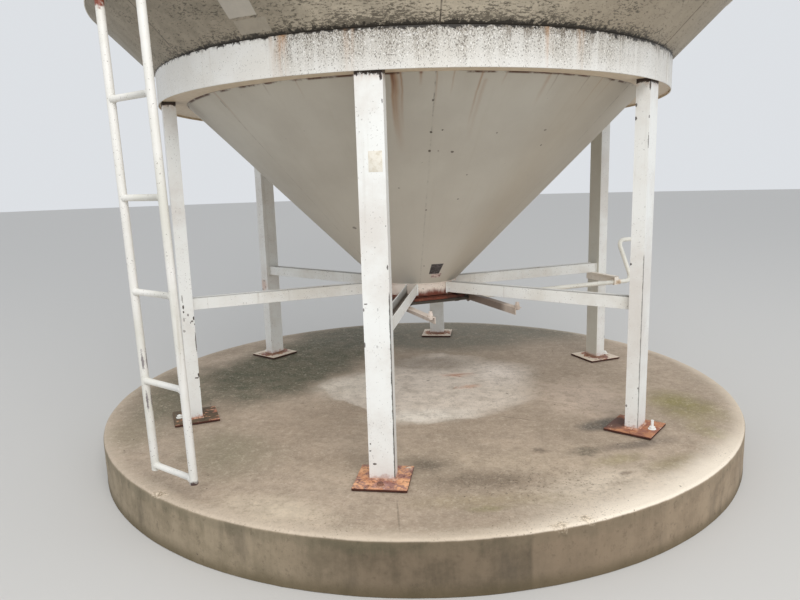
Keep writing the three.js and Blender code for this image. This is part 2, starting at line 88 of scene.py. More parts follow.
def turned(name, profile, steps=TURN_STEPS, smooth_below=35):
    """A [radius, height] line spun all the way round the silo's axis."""
    piece = drawn(name, [(r, 0, z) for r, z in profile])
    bpy.ops.mesh.spin(steps=steps, angle=FULL_TURN, center=(0, 0, 0), axis=(0, 0, 1))
    tidied(smooth_below)
    return piece


def picked(piece):
    """Selects one piece alone and makes it the active one."""
    bpy.ops.object.select_all(action="DESELECT")
    piece.select_set(True)
    bpy.context.view_layer.objects.active = piece


def finished(piece, kind, **settings):
    """Adds one modifier to a piece and applies it."""
    picked(piece)
    modifier = piece.modifiers.new(kind.title(), kind)
    for key, value in settings.items():
        setattr(modifier, key, value)
    bpy.ops.object.modifier_apply(modifier=modifier.name)


def lumps(name, size, depth=2):
    """A cloud texture that roughens a surface, with lumps of about this size."""
    clouds = bpy.data.textures.new(name, "CLOUDS")
    clouds.noise_scale = size
    clouds.noise_depth = depth
    return clouds


def paint(red, green, blue):
    """A colour as the eye sees it, 0 to 255, as the shader wants it."""
    parts = [((c / 255 + 0.055) / 1.055) ** 2.4 for c in (red, green, blue)]
    return (*parts, 1.0)


# The material or node group that the helpers add nodes to, and the places it colours
tree = None
place = None


class Value:
    """A value inside a material. A sum on it adds the node that works it out."""

    def __init__(self, socket):
        self.socket = socket

    def __add__(self, other):
        return calc("ADD", self, other)

    def __sub__(self, other):
        return calc("SUBTRACT", self, other)

    def __rsub__(self, other):
        return calc("SUBTRACT", other, self)

    def __mul__(self, other):
        return calc("MULTIPLY", self, other)

    def __truediv__(self, other):
        return calc("DIVIDE", self, other)

    def __abs__(self):
        return calc("ABSOLUTE", self)


def fill(node, inputs):
    """Links or sets a node's inputs. Fixed colours are given as the eye sees them."""
    for key, value in dict(inputs).items():
        socket = node.inputs[key]
        if isinstance(value, Value):
            tree.links.new(value.socket, socket)
        else:
            socket.default_value = paint(*value) if socket.type == "RGBA" else value


def put(kind, inputs=(), output=0, **settings):
    """Adds a shader node, sets it, fills its inputs, and gives one of its outputs."""
    node = tree.nodes.new("ShaderNode" + kind)
    for key, value in settings.items():
        setattr(node, key, value)
    fill(node, inputs)
    return Value(node.outputs[output])


def calc(operation, *values, clamp=False):
    """One sum on one to three numbers."""
    return put("Math", enumerate(values), operation=operation, use_clamp=clamp)


def vector(operation, first, second=(0, 0, 0), output=0):
    """One sum on two vectors."""
    return put("VectorMath", {0: first, 1: second}, output, operation=operation)


def length(value):
    return vector("LENGTH", value, output="Value")


def stretched(value, scale):
    """The same place, drawn out or squeezed along each axis."""
    return vector("MULTIPLY", value, scale)


def parted(value):
    """The X, Y and Z of a vector."""
    node = tree.nodes.new("ShaderNodeSeparateXYZ")
    fill(node, {0: value})
    return {socket.name: Value(socket) for socket in node.outputs}


def span(value, low, high, to_low=0.0, to_high=1.0, smooth=True):
    """Maps a value from low..high to 0..1 or to other ends, and keeps it there."""
    ends = enumerate((value, low, high, to_low, to_high))
    return put("MapRange", ends, interpolation_type="SMOOTHSTEP" if smooth else "LINEAR")


def blend(share, first, second):
    """Lays the second colour over the first by a share."""
    ends = {0: share, 6: first, 7: second}
    return put("Mix", ends, output=2, data_type="RGBA", blend_type="MIX", clamp_factor=True)


def noise(at, scale, detail=4.0, roughness=0.6):
    """Smooth random values round one half."""
    return put("TexNoise", {"Vector": at, "Scale": scale, "Detail": detail, "Roughness": roughness})


def surfaced(color, roughness, height, depth):
    """Ends a material in its shader: colour, roughness and a bump of so many metres."""
    bump = put("Bump", {"Height": height, "Distance": depth, "Strength": 1.0})
    ends = {"Base Color": color, "Roughness": roughness, "Normal": bump}
    fill(tree.nodes["Principled BSDF"], ends)


def new_material(name):
    """Starts a material, which the helpers work on from here."""
    global tree, place
    material = bpy.data.materials.new(name)
    material.use_nodes = True
    tree = material.node_tree
    place = put("TexCoord", output="Object")
    return material


def new_group(name, inputs, outputs):
    """Starts a node group with named sockets. Inputs are name: (kind, start value)."""
    global tree
    tree = bpy.data.node_groups.new(name, "ShaderNodeTree")
    for key, (kind, start) in inputs.items():
        socket = tree.interface.new_socket(key, in_out="INPUT", socket_type="NodeSocket" + kind)
        if start is not None:
            socket.default_value = paint(*start) if kind == "Color" else start
    for key, kind in outputs.items():
        tree.interface.new_socket(key, in_out="OUTPUT", socket_type="NodeSocket" + kind)
    come = tree.nodes.new("NodeGroupInput").outputs
    return tree, {key: Value(come[key]) for key in inputs}, tree.nodes.new("NodeGroupOutput")


def placed(group, **inputs):
    """Places a node group with its own values, and gives its outputs."""
    node = tree.nodes.new("ShaderNodeGroup")
    node.node_tree = group
    if "Place" in node.inputs:
        inputs = {"Place": place} | inputs
    fill(node, inputs)
    return {socket.name: Value(socket) for socket in node.outputs}


def dressed(piece, material, slot, node=None, body="silo"):
    """Gives a piece its material and body, and hides the node that it replaces. The slot is not used.
    """
    piece.data.materials.append(material)
    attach(piece, body)
    if node:
        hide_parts(node)


# A stain: an oval with a ragged, soft border
stain_group, come, go = new_group(
    "stain",
    {
        "Place": ("Vector", None),
        "Middle": ("Vector", None),
        "Radii": ("Vector", (1.0, 1.0, 1.0)),
        "Turn": ("Float", 0.0),
        "Softness": ("Float", 0.3),
        "Raggedness": ("Float", 0.3),
        "Grain": ("Float", 4.0),
    },
    {"Mask": "Float"},
)
offset = vector("SUBTRACT", come["Place"], come["Middle"])
turning = {"Vector": offset, "Angle": come["Turn"] * (-math.pi / 180)}
offset = put("VectorRotate", turning, rotation_type="Z_AXIS")
offset = vector("DIVIDE", offset, come["Radii"])
reach = length(offset)
ragged = noise(come["Place"], come["Grain"], 6)
ragged = (ragged - 0.5) * come["Raggedness"]
reach = reach + ragged * 4.0
inner = 1.0 - come["Softness"]
fill(go, {"Mask": span(reach, 1.0, inner)})


def stain(middle, radii, turn=0.0, softness=0.3, raggedness=0.3, grain=4.0, at=None):
    """How much of a stain lies at a place."""
    values = {"Middle": middle, "Radii": radii, "Turn": turn, "Softness": softness}
    values |= {"Raggedness": raggedness, "Grain": grain, "Place": at or place}
    return placed(stain_group, **values)["Mask"]


concrete = new_material("weathered_concrete")
parts = parted(place)
broad = noise(place, 1.6, 8, 0.62)
middling = noise(place, 8.0, 8, 0.7)
fine = noise(place, 90.0, 4, 0.7)
color = blend(span(broad, 0.3, 0.7), (190, 171, 151), (166, 149, 130))
# Round the outlet lies a pale patch. Its edge, as degrees of the outward way, offset, softness
PATCH_EDGES = [
    (214.5, 0.607, 0.03),
    (236.4, 0.634, 0.03),
    (285.2, 0.767, 0.04),
    (309.2, 0.795, 0.14),
    (356.8, 0.850, 0.30),
    (39.9, 0.850, 0.30),
    (71.6, 0.835, 0.10),
    (132.6, 0.583, 0.20),
]
ragged = (noise(place, 3.5, 7) - 0.5) * 0.24
patch = 0.85
for degrees, offset, softness in PATCH_EDGES:
    way = (math.cos(math.radians(degrees)), math.sin(math.radians(degrees)), 0)
    out = put("VectorMath", {0: place, 1: way}, operation="DOT_PRODUCT", output="Value")
    inside = span(out + ragged, offset, offset - softness)
    patch = inside * patch
# Outer marks: stains, damp and dirt, with painted shade at the back under the silo, dark patches by
# the plates that are partly painted shade, and painted light in places in front
# Middle x, y, radii x, y, turn, softness, raggedness, colour, strength
OUTER_STAINS_AND_PAINTED_LIGHT = [
    (0.30, 1.50, 1.70, 0.80, 0, 0.5, 0.12, (118, 115, 101), 0.95),
    (-0.98, 0.55, 0.66, 1.20, -22, 0.5, 0.14, (72, 76, 54), 0.95),
    (-0.62, 1.45, 0.80, 0.60, 0, 0.8, 0.12, (84, 86, 72), 0.85),
    (-1.62, -0.20, 0.36, 0.90, 10, 0.8, 0.16, (96, 94, 72), 0.85),
    (-0.62, -0.72, 0.62, 0.50, 30, 0.8, 0.12, (172, 153, 133), 0.75),
    (1.15, 0.62, 0.62, 0.85, 10, 0.7, 0.12, (170, 153, 135), 0.85),
    (1.02, -0.34, 0.40, 0.56, 0, 0.8, 0.12, (212, 192, 174), 0.85),
    (0.35, -1.35, 1.30, 0.34, 0, 0.8, 0.16, (192, 174, 152), 0.75),
    (-1.00, -1.10, 0.34, 0.50, 30, 0.9, 0.16, (140, 132, 108), 0.75),
    (-1.66, -0.80, 0.24, 0.36, 30, 0.9, 0.16, (150, 138, 114), 0.7),
    (0.80, -1.56, 0.60, 0.24, 26, 0.9, 0.14, (244, 230, 210), 0.5),
    (0.30, -1.47, 0.44, 0.15, 4, 0.9, 0.25, (122, 107, 90), 0.85),
    (0.02, -1.30, 0.21, 0.15, 0, 0.9, 0.25, (94, 84, 70), 0.85),
    (-0.42, -1.22, 0.30, 0.20, 0, 0.9, 0.25, (150, 132, 112), 0.6),
    (0.30, -1.66, 0.50, 0.10, 2, 0.9, 0.25, (166, 150, 120), 0.6),
    (1.00, -0.82, 0.24, 0.11, 24, 0.7, 0.25, (72, 71, 68), 0.9),
    (1.13, -1.09, 0.30, 0.07, 16, 0.9, 0.25, (100, 89, 80), 0.8),
    (0.83, -1.17, 0.13, 0.08, 20, 0.8, 0.40, (92, 84, 68), 0.75),
    (0.61, -1.15, 0.06, 0.04, 0, 0.8, 0.60, (104, 90, 76), 0.7),
    (0.96, -1.42, 0.07, 0.030, 20, 0.9, 0.50, (120, 104, 88), 0.7),
    (1.57, -0.54, 0.26, 0.40, 12, 0.9, 0.22, (138, 130, 74), 0.85),
    (0.97, -1.27, 0.20, 0.08, 20, 0.9, 0.30, (160, 148, 108), 0.6),
    (1.20, -1.32, 0.24, 0.10, 30, 0.9, 0.30, (142, 130, 96), 0.7),
    (1.54, -0.94, 0.12, 0.18, 30, 0.9, 0.25, (152, 142, 96), 0.6),
    (0.27, -1.74, 0.13, 0.04, 6, 0.9, 0.30, (140, 132, 92), 0.6),
    (-0.62, -1.72, 0.45, 0.16, -18, 0.9, 0.16, (226, 210, 186), 0.75),
]
# Inner marks: the outlet's rust, cracks and pale places, with painted light where the hopper's shadow
# falls
INNER_STAINS_AND_PAINTED_LIGHT = [
    (-0.42, -0.02, 0.36, 0.34, 20, 0.6, 0.10, (238, 228, 212), 0.6),
    (0.10, 0.50, 0.44, 0.30, 0, 0.7, 0.12, (168, 155, 141), 0.9),
    (0.02, -0.62, 0.42, 0.17, 5, 0.8, 0.10, (248, 242, 230), 0.55),
    (0.60, 0.22, 0.30, 0.40, 0, 0.9, 0.12, (250, 238, 226), 0.8),
    (0.56, -0.69, 0.15, 0.005, -24, 0.5, 0.02, (98, 86, 74), 0.8),
    (-0.10, -1.78, 0.006, 0.17, 4, 0.5, 0.02, (110, 97, 82), 0.5),
    (0.28, 0.20, 0.15, 0.020, 12, 0.9, 0.22, (168, 98, 68), 0.75),
    (0.26, 0.17, 0.08, 0.022, -35, 0.9, 0.22, (168, 98, 68), 0.75),
    (0.27, 0.19, 0.17, 0.08, 0, 0.95, 0.25, (206, 158, 128), 0.5),
    (0.34, -0.08, 0.13, 0.06, 20, 0.95, 0.25, (196, 140, 106), 0.6),
    (0.24, -0.10, 0.05, 0.018, 60, 0.9, 0.25, (176, 116, 84), 0.5),
]


def marked_over(color, stains):
    """Lays a list of stains, painted shade and painted light over a colour."""
    for x, y, across, along, turn, softness, raggedness, tone, strength in stains:
        grain = 5.0 if across > 0.2 else 20.0
        mask = stain((x, y, PAD_TOP), (across, along, 0.15), turn, softness, raggedness, grain)
        color = blend(mask * strength, color, tone)
    return color


color = marked_over(color, OUTER_STAINS_AND_PAINTED_LIGHT)
color = blend(patch, color, (231, 219, 205))
color = marked_over(color, INNER_STAINS_AND_PAINTED_LIGHT)
flat = stretched(place, (1.0, 1.0, 0.0))
from_axis = length(flat)
color = blend(span(middling, 0.38, 0.68, 0.0, 0.42), color, (142, 128, 110))
mottle = noise(place, 30.0, 6, 0.75)
color = blend(span(mottle, 0.5, 0.62, 0.0, 0.3), color, (128, 113, 96))
color = blend(span(mottle, 0.46, 0.36, 0.0, 0.3), color, (214, 198, 178))
# A painted highlight lies along the rounded rim, brightest at the front and right, where the rim
# stands out of the silo's shade
rim_highlight = from_axis + middling * 0.1
rim_highlight = span(rim_highlight, 1.92, 2.03)
highlight_side = parts["X"] - parts["Y"] * 0.6
highlight_share = span(highlight_side, -1.6, 2.0, 0.25, 0.65)
color = blend(rim_highlight * highlight_share, color, (226, 211, 190))
lit_rim = span(from_axis + middling * 0.12, 1.83, 2.01)
lit_rim = lit_rim * span(highlight_side, 1.35, 1.95, 0.0, 0.85)
lit_rim = lit_rim * span(parts["Y"], -0.75, -1.4, 0.12, 1.0)
color = blend(lit_rim, color, (250, 238, 220))
# Sand shows through in the top, crowded here and there
grit = span(noise(place, 120.0, 3, 0.6), 0.6, 0.68)
crowded = span(noise(place, 3.0, 5), 0.46, 0.62, 0.15, 0.75)
color = blend(grit * crowded, color, (116, 101, 84))
coarse = stain((0.45, -1.5, PAD_TOP), (0.85, 0.3, 0.15), 0, 0.9, 0.2)
coarse = coarse * span(noise(place, 70.0, 3), 0.57, 0.66)
color = blend(coarse * 0.75, color, (96, 83, 66))
color = blend(span(fine, 0.45, 0.75, 0.0, 0.25), color, (222, 208, 190))
# The side is darker, with damp streaks and a green band under the rounded edge
below = PAD_TOP - parts["Z"]
runs = noise(stretched(place, (7.0, 7.0, 0.9)), 2.0, 6, 0.7)
side = span(below + middling * 0.008, 0.013, 0.02)
blotch = runs * 0.35 + middling * 0.65
tone = span(blotch, 0.4, 0.62)
side_color = blend(tone, (122, 107, 88), (100, 88, 71))
left_color = blend(tone, (162, 147, 124), (140, 127, 105))
side_color = blend(span(parts["X"], -0.1, -0.9), side_color, left_color)
joint_x = parts["X"] + (middling - 0.5) * 0.03
side_color = blend(span(joint_x, 0.425, 0.44, 0.0, 0.45), side_color, (150, 131, 109))
right_color = blend(tone, (172, 153, 129), (150, 132, 110))
side_color = blend(span(parts["X"], 0.5, 1.5, 0.0, 0.85), side_color, right_color)
damp = noise(stretched(place, (3.0, 3.0, 1.0)), 1.5, 6, 0.6)
side_color = blend(span(damp, 0.54, 0.68, 0.0, 0.4), side_color, (84, 76, 64))
side_color = blend(span(mottle, 0.54, 0.66, 0.0, 0.35), side_color, (86, 74, 60))
color = blend(side, color, side_color)
band = runs * 0.14 - below
band = span(band, -0.01, 0.03) * span(below, 0.01, 0.022)
band_side = span(parts["X"] + broad * 1.2, 0.9, 0.0, 0.2, 1.0)
band_side = band_side * span(parts["X"], -0.5, -0.15, 0.35, 1.0)
color = blend(band * band_side * 0.75, color, (82, 82, 62))
foot = span(parts["Z"] + broad * 0.05, 0.1, 0.03)
color = blend(foot * 0.65, color, (86, 75, 50))
# The edge has crumbled in a few places
for x, y in ((-1.19, -1.55), (0.55, -1.88), (0.66, -1.83)):
    broken = stain((x, y, PAD_TOP - 0.006), (0.055, 0.04, 0.03), 0, 0.9, 0.5, 40.0)
    crumbs = span(fine, 0.44, 0.56)
    crumb_color = blend(crumbs, (140, 122, 98), (238, 222, 198))
    color = blend(broken * 0.7, color, crumb_color)
pits = noise(place, 26.0, 3, 0.5)
pits = span(pits, 0.735, 0.765)
color = blend(pits * 0.8, color, (92, 80, 68))
height = fine * 0.5 + middling * 0.5
height = height - pits * 0.6
surfaced(color, span(broad, 0.3, 0.7, 0.86, 0.96), height, 0.0025)

ROUNDING_PARTS = 8
SIDE_RING_STEP = 0.03
TOP_RING_STEP = 0.055
inner_edge = PAD_RADIUS - PAD_ROUNDING
rounding = []
for k in range(ROUNDING_PARTS + 1):
    turn = k * math.pi / (2 * ROUNDING_PARTS)
    lift = PAD_ROUNDING * math.sin(turn)
    rounding.append((inner_edge + PAD_ROUNDING * math.cos(turn), PAD_TOP - PAD_ROUNDING + lift))
side_rings = [(PAD_RADIUS, ring * SIDE_RING_STEP) for ring in range(1, 5)]
top_rings = [(inner_edge - TOP_RING_STEP * ring, PAD_TOP) for ring in range(1, 35)]
pad = turned(
    "concrete_pad_cast",
    [(0, 0), (PAD_RADIUS, 0), *side_rings, *rounding, *top_rings, (0, PAD_TOP)],
    smooth_below=60,
)
finished(pad, "DISPLACE", texture=lumps("hand_floated", 0.30), strength=0.004, mid_level=1.0)
finished(pad, "DISPLACE", texture=lumps("form_marks", 0.06), strength=0.002, mid_level=1.0)
dressed(pad, concrete, "concrete", "concrete_pad")


# Legs
# Six square tubes welded from folded plate, painted white. The paint has gone along the
# corners and in small chips, and rust shows there.
LEGS = 6
LEG_STEP = 60
FIRST_LEG = -96.85
LEG_CIRCLE = 1.463
LEG_WIDTH = 0.120
LEG_DEPTH = 0.070
LEG_FOOT = PAD_TOP + 0.0146
RING_BOTTOM = PAD_TOP + 1.811
FLANGE_BOTTOM = RING_BOTTOM + 0.0115
AIR = 0.0003  # Left between any two solids
LEG_HEAD = FLANGE_BOTTOM - AIR
LEG_CORNER = 0.007


def block(name, low, high):
    """A box between two opposite corners, with its place in its mesh."""
    middle = (Vector(low) + Vector(high)) / 2
    bpy.ops.object.select_all(action="DESELECT")
    bpy.ops.mesh.primitive_cube_add(size=1, location=middle)
    bpy.context.object.scale = Vector(high) - Vector(low)
    return settled(name)


def chosen(piece, kind, test):
    """In edit mode, selects the corners, edges or faces that pass a test."""
    bpy.ops.object.mode_set(mode="EDIT")
    bpy.ops.mesh.select_all(action="DESELECT")
    edit = bmesh.from_edit_mesh(piece.data)
    for part in getattr(edit, kind):
        part.select_set(test(part))
    if kind == "verts":
        edit.select_flush(True)
    bmesh.update_edit_mesh(piece.data)


def rounded(piece, width, segments=3, smooth_below=35, sharper_than=30):
    """Rounds a piece's edges, where its faces meet at more than an angle."""
    finished(
        piece,
        "BEVEL",
        width=width,
        segments=segments,
        limit_method="ANGLE",
        angle_limit=math.radians(sharper_than),
    )
    bpy.ops.object.shade_smooth_by_angle(angle=math.radians(smooth_below))
    return piece


def remember_place(piece):
    """Keeps each point's place as drawn, before the piece is turned to its own side."""
    kept = piece.data.attributes.new("drawn_place", "FLOAT_VECTOR", "POINT")
    for point, value in zip(piece.data.vertices, kept.data):
        value.vector = point.co


def drawn_place():
    """Where a point was as drawn, kept by remember_place."""
    return put("Attribute", attribute_name="drawn_place", output="Vector")


def turned_to(piece, degrees):
    """Turns a piece about the silo's axis and writes its place into its mesh."""
    picked(piece)
    piece.rotation_euler.z = math.radians(degrees)
    return settled()


def copied(piece, name):
    """A copy with its own mesh."""
    picked(piece)
    bpy.ops.object.duplicate(linked=False)
    bpy.context.object.name = name
    return bpy.context.object


def coated(color, coat, depth=0.0006):
    """Ends a painted material with the roughness and bumps of its coat."""
    surfaced(color, coat["Roughness"], coat["Height"], depth)


# Rust: orange and dark brown, pitted
rust_group, come, go = new_group(
    "rust",
    {
        "Place": ("Vector", None),
        "Fresh": ("Color", (186, 118, 78)),
        "Old": ("Color", (84, 50, 34)),
        "Grain": ("Float", 30.0),
    },
    {"Color": "Color", "Height": "Float"},
)
coarse = noise(come["Place"], come["Grain"], 8, 0.7)
grit = noise(come["Place"], come["Grain"] * 9.0, 3)
color = blend(span(coarse, 0.38, 0.66), come["Fresh"], come["Old"])
color = blend(span(grit, 0.45, 0.8, 0.0, 0.5), color, come["Fresh"])
fill(go, {"Color": color, "Height": coarse + grit * 0.5})

# Weathered paint: faded tones, drip marks, specks, and chips that show rust
paint_group, come, go = new_group(
    "weathered_paint",
    {
        "Place": ("Vector", None),
        "Paint": ("Color", (240, 241, 238)),
        "Faded": ("Color", (218, 216, 206)),
        "Dirt": ("Color", (150, 136, 112)),
        "Wear": ("Float", 0.0),
        "Chips": ("Float", 0.30),
        "Specks": ("Float", 0.5),
        "Runs": ("Float", 0.4),
        "Rust": ("Color", (128, 84, 58)),
    },
    {"Color": "Color", "Roughness": "Float", "Height": "Float"},
)
fade = noise(come["Place"], 2.6, 6, 0.65)
color = blend(span(fade, 0.38, 0.68), come["Paint"], come["Faded"])
run_place = stretched(come["Place"], (26.0, 26.0, 1.1))
run = noise(run_place, 1.0, 5, 0.6)
run = span(run, 0.58, 0.78) * come["Runs"]
color = blend(run, color, come["Dirt"])
speck = noise(come["Place"], 130.0, 2, 0.45)
patchy = span(noise(come["Place"], 7.0, 3), 0.36, 0.64, -0.03, 0.04)
speck = span(speck + patchy, 0.685, 0.725)
color = blend(speck * come["Specks"], color, (84, 70, 58))
# Chips: where noise of two sizes passes a limit that falls with wear
ragged = noise(come["Place"], 34.0, 8, 0.72)
cluster = noise(come["Place"], 4.5, 3, 0.6)
likely = ragged * 0.7 + cluster * 0.3
likely = likely + come["Wear"] * 0.22
limit = 0.86 - come["Chips"] * 0.3
over = likely - limit
chip = span(over, 0.0, 0.012)
halo = span(over, -0.04, 0.02)
rust = placed(rust_group, Place=come["Place"], Grain=46.0, Fresh=come["Rust"], Old=(52, 38, 30))
color = blend(halo * 0.25, color, (196, 160, 126))
color = blend(chip, color, rust["Color"])
orange_peel = noise(come["Place"], 70.0, 3)
sunk = orange_peel * 0.18 - chip
fill(go, {"Color": color, "Roughness": span(chip, 0.0, 1.0, 0.48, 0.85), "Height": sunk})


def inside_of(middle, half, drawn_at):
    """How far inside the sides of a box section a point was as drawn, along each axis."""
    offset = vector("ABSOLUTE", vector("SUBTRACT", drawn_at, middle))
    return parted(vector("SUBTRACT", half, offset))


leg_paint = new_material("leg_paint")
drawn_at = drawn_place()
parts = inside_of((LEG_CIRCLE, 0, 0), (LEG_DEPTH / 2, LEG_WIDTH / 2, 9), drawn_at)
wear = span(calc("MAXIMUM", parts["X"], parts["Y"]), 0.008, 0.0)
parts = parted(place)
low = span(parts["Z"], 0.55, 0.26)
wear = wear * 0.5 + low * 0.22
coat = placed(paint_group, Wear=wear, Chips=0.34, Runs=0.15, Specks=0.35, Faded=(224, 220, 214))
color = coat["Color"]
drawn_parts = parted(drawn_at)
# On the two front legs the paint has cracked off in a thin black line down one corner
right_hand = span(parts["X"], 0.4, 0.5, 1.0, -1.0)
from_side = LEG_WIDTH / 2 - drawn_parts["Y"] * right_hand
from_front = LEG_CIRCLE + LEG_DEPTH / 2 - drawn_parts["X"]
off_corner = from_side + from_front
jag = noise(stretched(place, (1.0, 1.0, 0.5)), 42.0, 6, 0.8)
off_corner = off_corner + (jag - 0.5) * 0.014
crack = span(off_corner + span(parts["X"], 0.4, 0.6, 0.0, 0.0008), 0.0052, 0.0038)
crack_top = span(parts["X"], 0.0, 1.0, 1.147, 1.217)
crack = crack * span(parts["Z"], crack_top, crack_top - 0.02)
crack = crack * span(parts["Y"], -0.7, -0.75)
crack = crack * span(parts["X"], 0.4, 0.6, 0.9, 0.62)
color = blend(crack, color, (40, 32, 28))
# Dirt and dark rust sit along the joint under the ring
down = RING_BOTTOM - parts["Z"]
teeth = noise(place, 60.0, 6, 0.75)
teeth = (teeth - 0.4) * span(parts["X"], 0.4, 0.6, 0.07, 0.045)
joint = span(down - teeth, 0.006, 0.001)
pink = span(down, 0.045, 0.01, 0.0, 0.4)
color = blend(pink * span(jag, 0.4, 0.6), color, (206, 164, 140))
color = blend(joint, color, (54, 40, 31))
# Chips: leg, out and across from its middle line, height, half width, half height, strength
FACE = LEG_DEPTH / 2
LEG_CHIPS = [
    (1, FACE, 0.052, 2.044, 0.007, 0.022, 1.0),
    (1, FACE, 0.055, 1.944, 0.004, 0.011, 0.6),
    (1, FACE, 0.001, 1.861, 0.003, 0.003, 0.4),
    (1, FACE, -0.046, 1.823, 0.003, 0.003, 0.5),
    (1, FACE, 0.053, 1.429, 0.003, 0.004, 0.6),
    (1, FACE, 0.003, 1.338, 0.004, 0.004, 0.3),
    (1, FACE, 0.055, 1.251, 0.004, 0.012, 0.85),
    (1, FACE, -0.047, 1.090, 0.011, 0.003, 0.9),
    (1, FACE, -0.057, 1.063, 0.004, 0.009, 0.8),
    (1, FACE, -0.058, 0.905, 0.004, 0.014, 0.85),
    (1, FACE, 0.006, 1.066, 0.004, 0.008, 0.35),
    (1, FACE, -0.003, 0.898, 0.004, 0.008, 0.35),
    (1, FACE, -0.033, 0.345, 0.011, 0.006, 0.9),
    (1, FACE, -0.050, 0.442, 0.004, 0.005, 0.9),
    (1, FACE, -0.052, 0.408, 0.005, 0.004, 0.9),
    (2, FACE, -0.058, 2.040, 0.007, 0.026, 0.9),
    (2, -0.032, -0.060, 1.952, 0.006, 0.010, 0.9),
    (2, -0.032, -0.060, 1.888, 0.006, 0.012, 0.95),
    (2, FACE, -0.060, 1.892, 0.005, 0.010, 0.7),
    (2, FACE, -0.060, 1.778, 0.004, 0.042, 0.75),
    (2, -0.034, -0.060, 1.159, 0.008, 0.008, 1.0),
    (2, 0.028, -0.060, 0.500, 0.004, 0.006, 0.7),
    (2, -0.030, -0.060, 0.392, 0.005, 0.009, 0.8),
    (3, FACE, -0.060, 0.420, 0.005, 0.014, 0.6),
    (6, 0.022, 0.060, 0.990, 0.004, 0.026, 0.6),
    (6, 0.020, 0.060, 0.941, 0.005, 0.014, 1.0),
    (6, 0.021, 0.060, 0.912, 0.005, 0.008, 1.0),
    (6, 0.022, 0.060, 0.868, 0.004, 0.016, 0.6),
    (6, -0.002, 0.060, 0.892, 0.006, 0.009, 0.7),
    (6, -0.033, 0.060, 0.870, 0.007, 0.012, 1.0),
    (6, -0.022, 0.060, 0.854, 0.008, 0.006, 0.9),
    (6, -0.013, 0.060, 0.846, 0.004, 0.006, 0.7),
    (6, -0.034, 0.060, 0.835, 0.004, 0.006, 0.9),
    (6, 0.026, 0.060, 0.800, 0.008, 0.008, 0.5),
    (6, -0.034, 0.060, 0.726, 0.005, 0.068, 0.9),
    (6, -0.033, 0.060, 0.530, 0.006, 0.014, 1.0),
    (6, -0.020, 0.060, 0.514, 0.014, 0.005, 1.0),
    (6, -0.034, 0.060, 0.459, 0.004, 0.006, 0.8),
    (5, 0.006, 0.060, 0.866, 0.010, 0.010, 0.6),
    (5, -0.006, 0.060, 0.817, 0.006, 0.012, 0.6),
    (5, 0.026, 0.060, 0.797, 0.008, 0.010, 0.6),
]


def leg_angle(leg):
    return FIRST_LEG + LEG_STEP * (leg - 1)


def on_leg(leg, out, across, height):
    """A point on a leg, from its middle line."""
    turn = math.radians(leg_angle(leg))
    way = Vector((math.cos(turn), math.sin(turn), 0))
    side = Vector((-way.y, way.x, 0))
    return way * (LEG_CIRCLE + out) + side * across + Vector((0, 0, height))


for leg, out, across, height, half_width, half_height, strength in LEG_CHIPS:
    radii = (half_width, half_width, half_height)
    chip = stain(on_leg(leg, out, across, height), radii, leg_angle(leg), 0.3, 0.35, 160.0)
    color = blend(chip * strength, color, (58, 46, 40))
# The third leg's inner face is darkened grey: painted shade on the face turned from the light
inner_face_shade = span(drawn_parts["X"], LEG_CIRCLE - 0.031, LEG_CIRCLE - 0.034) * 0.6
inner_face_shade = inner_face_shade * span(parts["X"], 0.7, 0.9)
inner_face_shade = inner_face_shade * span(parts["Y"], 0.0, 0.2)
color = blend(inner_face_shade, color, (186, 181, 162))
# Pink rust stain on the fifth leg above its spoke
pink = stain(on_leg(5, 0.01, 0.06, 0.83), (0.05, 0.05, 0.07), 0, 0.8, 0.3, 40.0)
color = blend(pink * 0.55, color, (206, 166, 146))
# The foot is grimy and rust has crept up it from the weld
creep = noise(place, 40.0, 6, 0.7)
creep = span(creep * -0.07 + parts["Z"], 0.262, 0.238)
color = blend(creep * 0.65, color, (184, 140, 122))
coated(color, coat)

leg = block(
    "leg_draft",
    (LEG_CIRCLE - LEG_DEPTH / 2, -LEG_WIDTH / 2, LEG_FOOT),
    (LEG_CIRCLE + LEG_DEPTH / 2, LEG_WIDTH / 2, LEG_HEAD),
)
chosen(leg, "edges", lambda edge: abs(edge.verts[0].co.z - edge.verts[1].co.z) > 1)
bpy.ops.mesh.bevel(offset=LEG_CORNER, segments=4)
tidied()
remember_place(leg)
for i in range(1, LEGS + 1):
    tube = turned_to(copied(leg, f"leg_tube_{i}"), leg_angle(i))
    dressed(tube, leg_paint, "white_paint", f"leg_{i}")
bpy.data.objects.remove(leg)

# A faded square of label, blank, stuck on the first leg's face
label_film = new_material("faded_label")
blotch = noise(place, 40.0, 6, 0.7)
color = blend(span(blotch, 0.4, 0.65), (234, 229, 217), (214, 206, 189))
surfaced(color, 0.6, blotch, 0.0003)
LEG_FACE = LEG_CIRCLE + LEG_DEPTH / 2
LABEL_SUNK = 0.0002
LABEL_THICKNESS = 0.0006
LABEL_LEFT = -0.012
LABEL_RIGHT = 0.048
LABEL_BOTTOM = 1.657
LABEL_TOP = 1.744
label = block(
    "blank_label",
    (LEG_FACE - LABEL_SUNK, LABEL_LEFT, LABEL_BOTTOM),
    (LEG_FACE + LABEL_THICKNESS, LABEL_RIGHT, LABEL_TOP),
)
rounded(label, LABEL_THICKNESS / 2, segments=2)
turned_to(label, FIRST_LEG)
dressed(label, label_film, "white_paint")


